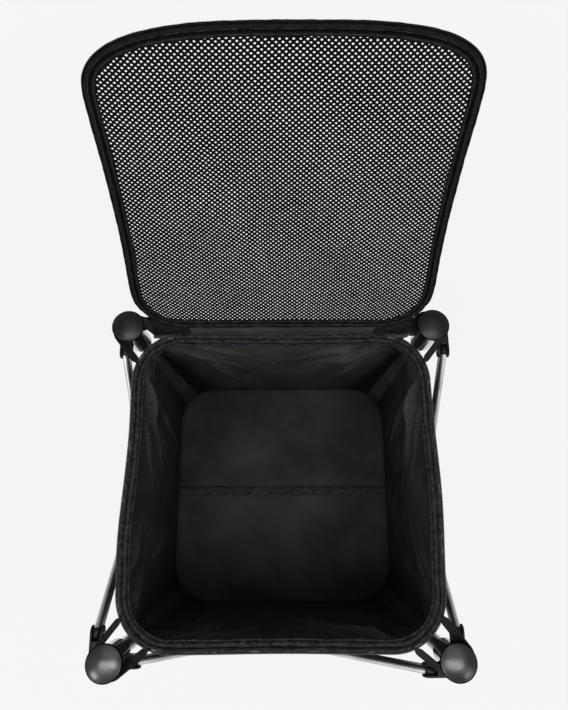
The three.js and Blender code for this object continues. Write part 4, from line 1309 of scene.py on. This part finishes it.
def net(right):
    """One half of the lid's net. Each cell is a diamond with a round hole of eight sides; cells share
    their tips. The cloth ripples: its points stray along and off it by smooth waves."""
    u, v, column, row = net_cells()
    half = column >= 0 if right else column < 0
    u, v, column, row = u[half], v[half], column[half], row[half]
    tips = np.array(QUARTERS)
    tip_key = (column[:, None] + tips[:, 0] + KEY_SHIFT) * KEY_ROW + (row[:, None] + tips[:, 1] + KEY_SHIFT)
    _, first, tip_index = np.unique(tip_key, return_index=True, return_inverse=True)
    tip_index = tip_index.reshape(tip_key.shape)
    tip_u = (u[:, None] + tips[:, 0] * NET_PITCH / 2).ravel()[first]
    tip_v = (v[:, None] + tips[:, 1] * NET_RISE).ravel()[first]
    a = np.arange(HOLE_SIDES) * math.pi / 4
    size = HOLE_SIZE + 0.02 * np.sin(u / 31 + v / 47) + 0.05 * RNG.standard_normal(len(u))
    hole_u = u[:, None] + size[:, None] * HOLE_WIDE * np.cos(a)
    hole_v = v[:, None] + size[:, None] * HOLE_HIGH * np.sin(a)
    all_u = np.concatenate([tip_u, hole_u.ravel()])
    all_v = np.concatenate([tip_v, hole_v.ravel()])
    hole = len(tip_u) + np.arange(len(u))[:, None] * HOLE_SIDES + np.arange(HOLE_SIDES)
    triangles = []
    for q in range(4):
        here, there = tip_index[:, q], tip_index[:, (q + 1) % 4]
        h0, h1, h2 = hole[:, 2 * q], hole[:, 2 * q + 1], hole[:, (2 * q + 2) % HOLE_SIDES]
        triangles += [np.stack(three, 1) for three in ((here, there, h1), (here, h1, h0), (there, h2, h1))]
    stray_u = 0.9 * np.sin(all_v / 34 + 0.6 * np.sin(all_u / 60)) + 0.5 * np.sin(all_v / 15 + all_u / 40)
    stray_v = 0.8 * np.sin(all_u / 38 + 1.4) + 0.5 * np.sin(all_u / 17 + all_v / 52)
    off = NET_OFF + 0.5 * np.sin(all_u / 21 + all_v / 36) + 0.35 * np.sin(all_v / 16 - all_u / 47)
    points = lid_point(all_u + stray_u, all_v + stray_v, off)
    return points, [np.concatenate(triangles)], woven(all_u, all_v)


for name, right in (("left", False), ("right", True)):
    panel = sewn("lid_net_" + name, [net(right)], NET, "lid", ["lid_mesh"], LID_GATHER)
    thick = panel.modifiers.new("thickness", "SOLIDIFY")
    thick.thickness = NET_THICK * MM
    thick.offset = 0.0


HINGE_ROLL = [(-7.0, -3.2), (-6.4, -1.4), (-4.4, -0.4), (-2.4, -1.2), (-1.4, -2.6), (-0.9, -2.9),
              (-1.0, -3.9), (-3.6, -3.8)]
HINGE_RIDGE = [(-0.9, -2.9), (-0.4, -2.8), (0.8, -1.0), (3.6, 0.5), (7.0, 0.7), (10.0, -0.4), (11.4, -2.2),
               (13.6, -2.4), (15.4, -1.6), (15.4, -3.8), (9.0, -3.6), (0.0, -4.2)]
HINGE_END, TAPE_END, TAPE_ROUND = 136, 189, 9
STRIP_MIDDLE, STRIP_FOOT = 4.2, -1.6
TAB_AT, RUNNER_AT = 141.0, 162.0


def hinge_strip(section, start, stop):
    """Part of the cloth from the rim's back edge up to the lid's border. A narrow roll stays with
    the rim; past the groove over the hinge line a broad soft ridge goes with the lid and rises
    round the lid's corners. Their height wanders a little along their length, and they shrink at
    the ends of the tape."""
    x = np.linspace(start, stop, round((stop - start) / 1.35))[:, None]
    v, off = rounded(section, 2.0, 4).T
    sway = 0.5 * np.sin(x / 9 + 0.4 * v) + 0.6 * np.sin(x / 23 - 0.3 * v + 1) + 0.3 * np.sin(x / 4.7 + v)
    end = np.clip((TAPE_END - np.abs(x)) / TAPE_ROUND, 0, 1) ** 0.5
    u = x + 0 * v
    beyond = np.clip(np.abs(x) - (LID_HALF - LID_BEND), 0, LID_BEND)
    rise = (LID_BEND - np.sqrt(LID_BEND ** 2 - beyond ** 2)) * np.clip((v - 5) / 8, 0, 1)
    across = STRIP_MIDDLE + (v - STRIP_MIDDLE) * (0.55 + 0.45 * end) + 0.4 * sway + rise
    height = STRIP_FOOT + (off - STRIP_FOOT) * (0.3 + 0.7 * end) + 0.5 * sway * end
    points, faces, _ = shell(lid_point(u, across, height))
    around = 0 * x + run(np.stack([v, off], 1), 0)
    return points, faces, woven(u.ravel(), around.ravel())


def end_tab(sense):
    """The folded tab of tape that stops the zip at one end of the hinge."""
    made = plate(box_outline(-7.0, 7.0, 1.2, 9.6, 1.6), -1.7, 1.7, 1.2)
    return moved(made, lambda p: lid_point(sense * TAB_AT + p[:, 0], p[:, 2], -p[:, 1] - 0.2))


lid_piece("hinge_roll", [hinge_strip(HINGE_ROLL, -TAPE_END, TAPE_END)], HINGE_CLOTH, body="leg_back_left")
lid_piece("hinge_strip", [hinge_strip(HINGE_RIDGE, -HINGE_END, HINGE_END)], HINGE_CLOTH, ["lid_hinge_tape"])
lid_piece("hinge_strip_ends", [hinge_strip(HINGE_RIDGE, -TAPE_END, -HINGE_END),
                               hinge_strip(HINGE_RIDGE, HINGE_END, TAPE_END)], BORDER_TAPE)
piece("zip_end_tabs", [end_tab(-1), end_tab(1)], WEBBING, "lid", (), LID_GATHER, 50)

# ---------------------------------------------------------------- zip sliders


def zip_runner(sense):
    """A cast slider at the zip's end: a waisted body, a bridge over it and a pull laid along the rim
    with its eye round the bridge."""
    z = RIM + 0.2
    waist = np.array([(-5.6, -2.6), (-3.0, -3.9), (0, -3.3), (3.0, -4.1), (5.6, -3.6), (5.6, 3.6), (3.0, 4.1),
                      (0, 3.3), (-3.0, 3.9), (-5.6, 2.6)])
    plates = [plate(rounded(waist, 1.2, 4), low, low + 1.2, 0.5) for low in (z, z + 2.0)]
    plates += [plate(rounded(waist * 0.62, 0.8, 3), z + 1.0, z + 2.2, 0.1),
               plate(link(-7.0, 0, 2.4, -22, 0, 2.9), z + 2.9, z + 4.1, 0.5)]
    body, cover, post, pull = placed(plates, lambda p: np.stack([p[:, 0], -p[:, 2], p[:, 1]], 1))
    arch = [(-3.6, 0, 2.8), (-3.2, 0, 4.2), (-1.6, 0, 4.9), (1.6, 0, 4.9), (3.2, 0, 4.2), (3.6, 0, 2.8)]
    bridge = swept(np.array(arch) + np.array([0, 0, z]), oval(1.8, 1.0, 10), up=(0, 1, 0))
    a = full_turn(28)
    loop = np.stack([-3.4 + 3.4 * np.cos(a), 2.5 * np.sin(a), z + 3.7 + 0 * a], 1)
    eye = swept(loop, oval(1.1, 1.1, 8), closed=True)
    shift = np.array([sense * -RUNNER_AT, BAG_HALF - 4.5, 0.4])
    return placed([body, cover, post, bridge, pull, eye], lambda p: p * np.array([sense, 1, 1]) + shift)


piece("zip_runner_left", zip_runner(1), ENAMEL, "leg_back_left", ["zip_slider"])
piece("zip_runner_right", zip_runner(-1), ENAMEL, "leg_back_right")

# ---------------------------------------------------------------- floor and light

FLOOR_REACH = 15.0
STUDIO_WHITE = "#f6f6f6"
EVEN_NEAR, EVEN_FAR, EVEN_SHARE = 0.8, 2.2, 0.93
# How far from the middle the painted shadow in the floor's reflections reaches and fades out, in metres.
PAINTED_SHADOW_REACH, PAINTED_SHADOW_FADE = 0.4, 0.48
MIRROR_FAR, MIRROR_NEAR = 0.75, 0.55
ROOM_LIGHT = 0.36


def make_stage():
    """A pale studio floor that keeps part of the cart's shadow. What the camera and far mirrors see
    of it is mostly its own even white; mirrors close over its middle see a near-black painted shadow of the
    floor under the cart."""
    mesh = bpy.data.meshes.new("floor")
    mesh.from_pydata([(FLOOR_REACH * x, FLOOR_REACH * y, 0) for x, y in CORNER_SIGNS], [], [(0, 1, 2, 3)])
    ground = show("floor", mesh)
    material = bpy.data.materials.new("studio_floor")
    tree = cleared(material)
    path = add(tree, "LightPath")
    place = add(tree, "NewGeometry").outputs["Position"]
    away = add(tree, "VectorMath", {0: place, 1: tuple(CENTRE * MM)}, operation="DISTANCE").outputs["Value"]
    open_floor = either(tree, stretched(tree, away, PAINTED_SHADOW_REACH, PAINTED_SHADOW_FADE),
                        stretched(tree, path.outputs["Ray Length"], MIRROR_FAR, MIRROR_NEAR))
    glossy = path.outputs["Is Glossy Ray"]
    mirrored = times(tree, glossy, open_floor)
    seen = either(tree, path.outputs["Is Camera Ray"], mirrored)
    seen = either(tree, seen, path.outputs["Is Transmission Ray"])
    lit = add(tree, "BsdfDiffuse", {"Color": srgb("#e8e8e8")})
    even = add(tree, "Emission", {"Color": srgb(STUDIO_WHITE), "Strength": 1.0})
    # Painted shadow: near-black that close mirrors see over the floor's middle, for the floor's shade under
    # the cart.
    painted_shadow = add(tree, "Emission", {"Color": srgb("#050505"), "Strength": 1.0})
    share = times(tree, seen, stretched(tree, away, EVEN_NEAR, EVEN_FAR, EVEN_SHARE, 1.0))
    mixed = add(tree, "MixShader", {0: share, 1: lit, 2: even})
    sees_painted_shadow = compute(tree, "SUBTRACT", glossy, mirrored)
    mixed = add(tree, "MixShader", {0: sees_painted_shadow, 1: mixed, 2: painted_shadow})
    add(tree, "OutputMaterial", {"Surface": mixed})
    mesh.materials.append(material)


def make_world():
    """An even pale room: the camera sees white, and the cart gets a low soft light from it."""
    world = bpy.data.worlds.new("studio")
    tree = cleared(world)
    path = add(tree, "LightPath")
    seen = either(tree, path.outputs["Is Camera Ray"], path.outputs["Is Transmission Ray"])
    room = add(tree, "Background", {"Color": srgb("#f2f3f5"), "Strength": ROOM_LIGHT})
    white = add(tree, "Background", {"Color": srgb(STUDIO_WHITE), "Strength": 1.0})
    add(tree, "OutputWorld", {"Surface": add(tree, "MixShader", {0: seen, 1: room, 2: white})})
    bpy.context.scene.world = world


def softbox(name, place, target, size, power):
    """A rectangular studio lamp that looks at a point."""
    lamp = bpy.data.lights.new(name, "AREA")
    lamp.shape = "RECTANGLE"
    lamp.size, lamp.size_y = size
    lamp.energy = power
    made = show(name, lamp)
    way = Vector(target) - Vector(place)
    made.matrix_world = Matrix.Translation(place) @ way.to_track_quat("-Z", "Y").to_matrix().to_4x4()


make_stage()
make_world()
softbox("overhead", (0.0, -0.85, 2.9), (0, -0.1, 0.8), (2.2, 0.9), 50)
softbox("key", (-2.0, -2.2, 2.2), (0, 0, 0.8), (0.9, 0.9), 22)
softbox("fill", (2.0, -2.2, 2.2), (0, 0, 0.8), (0.9, 0.9), 12)
softbox("ceiling", (0.2, 0.8, 3.1), (0, 0.0, 0.8), (2.6, 1.5), 11)
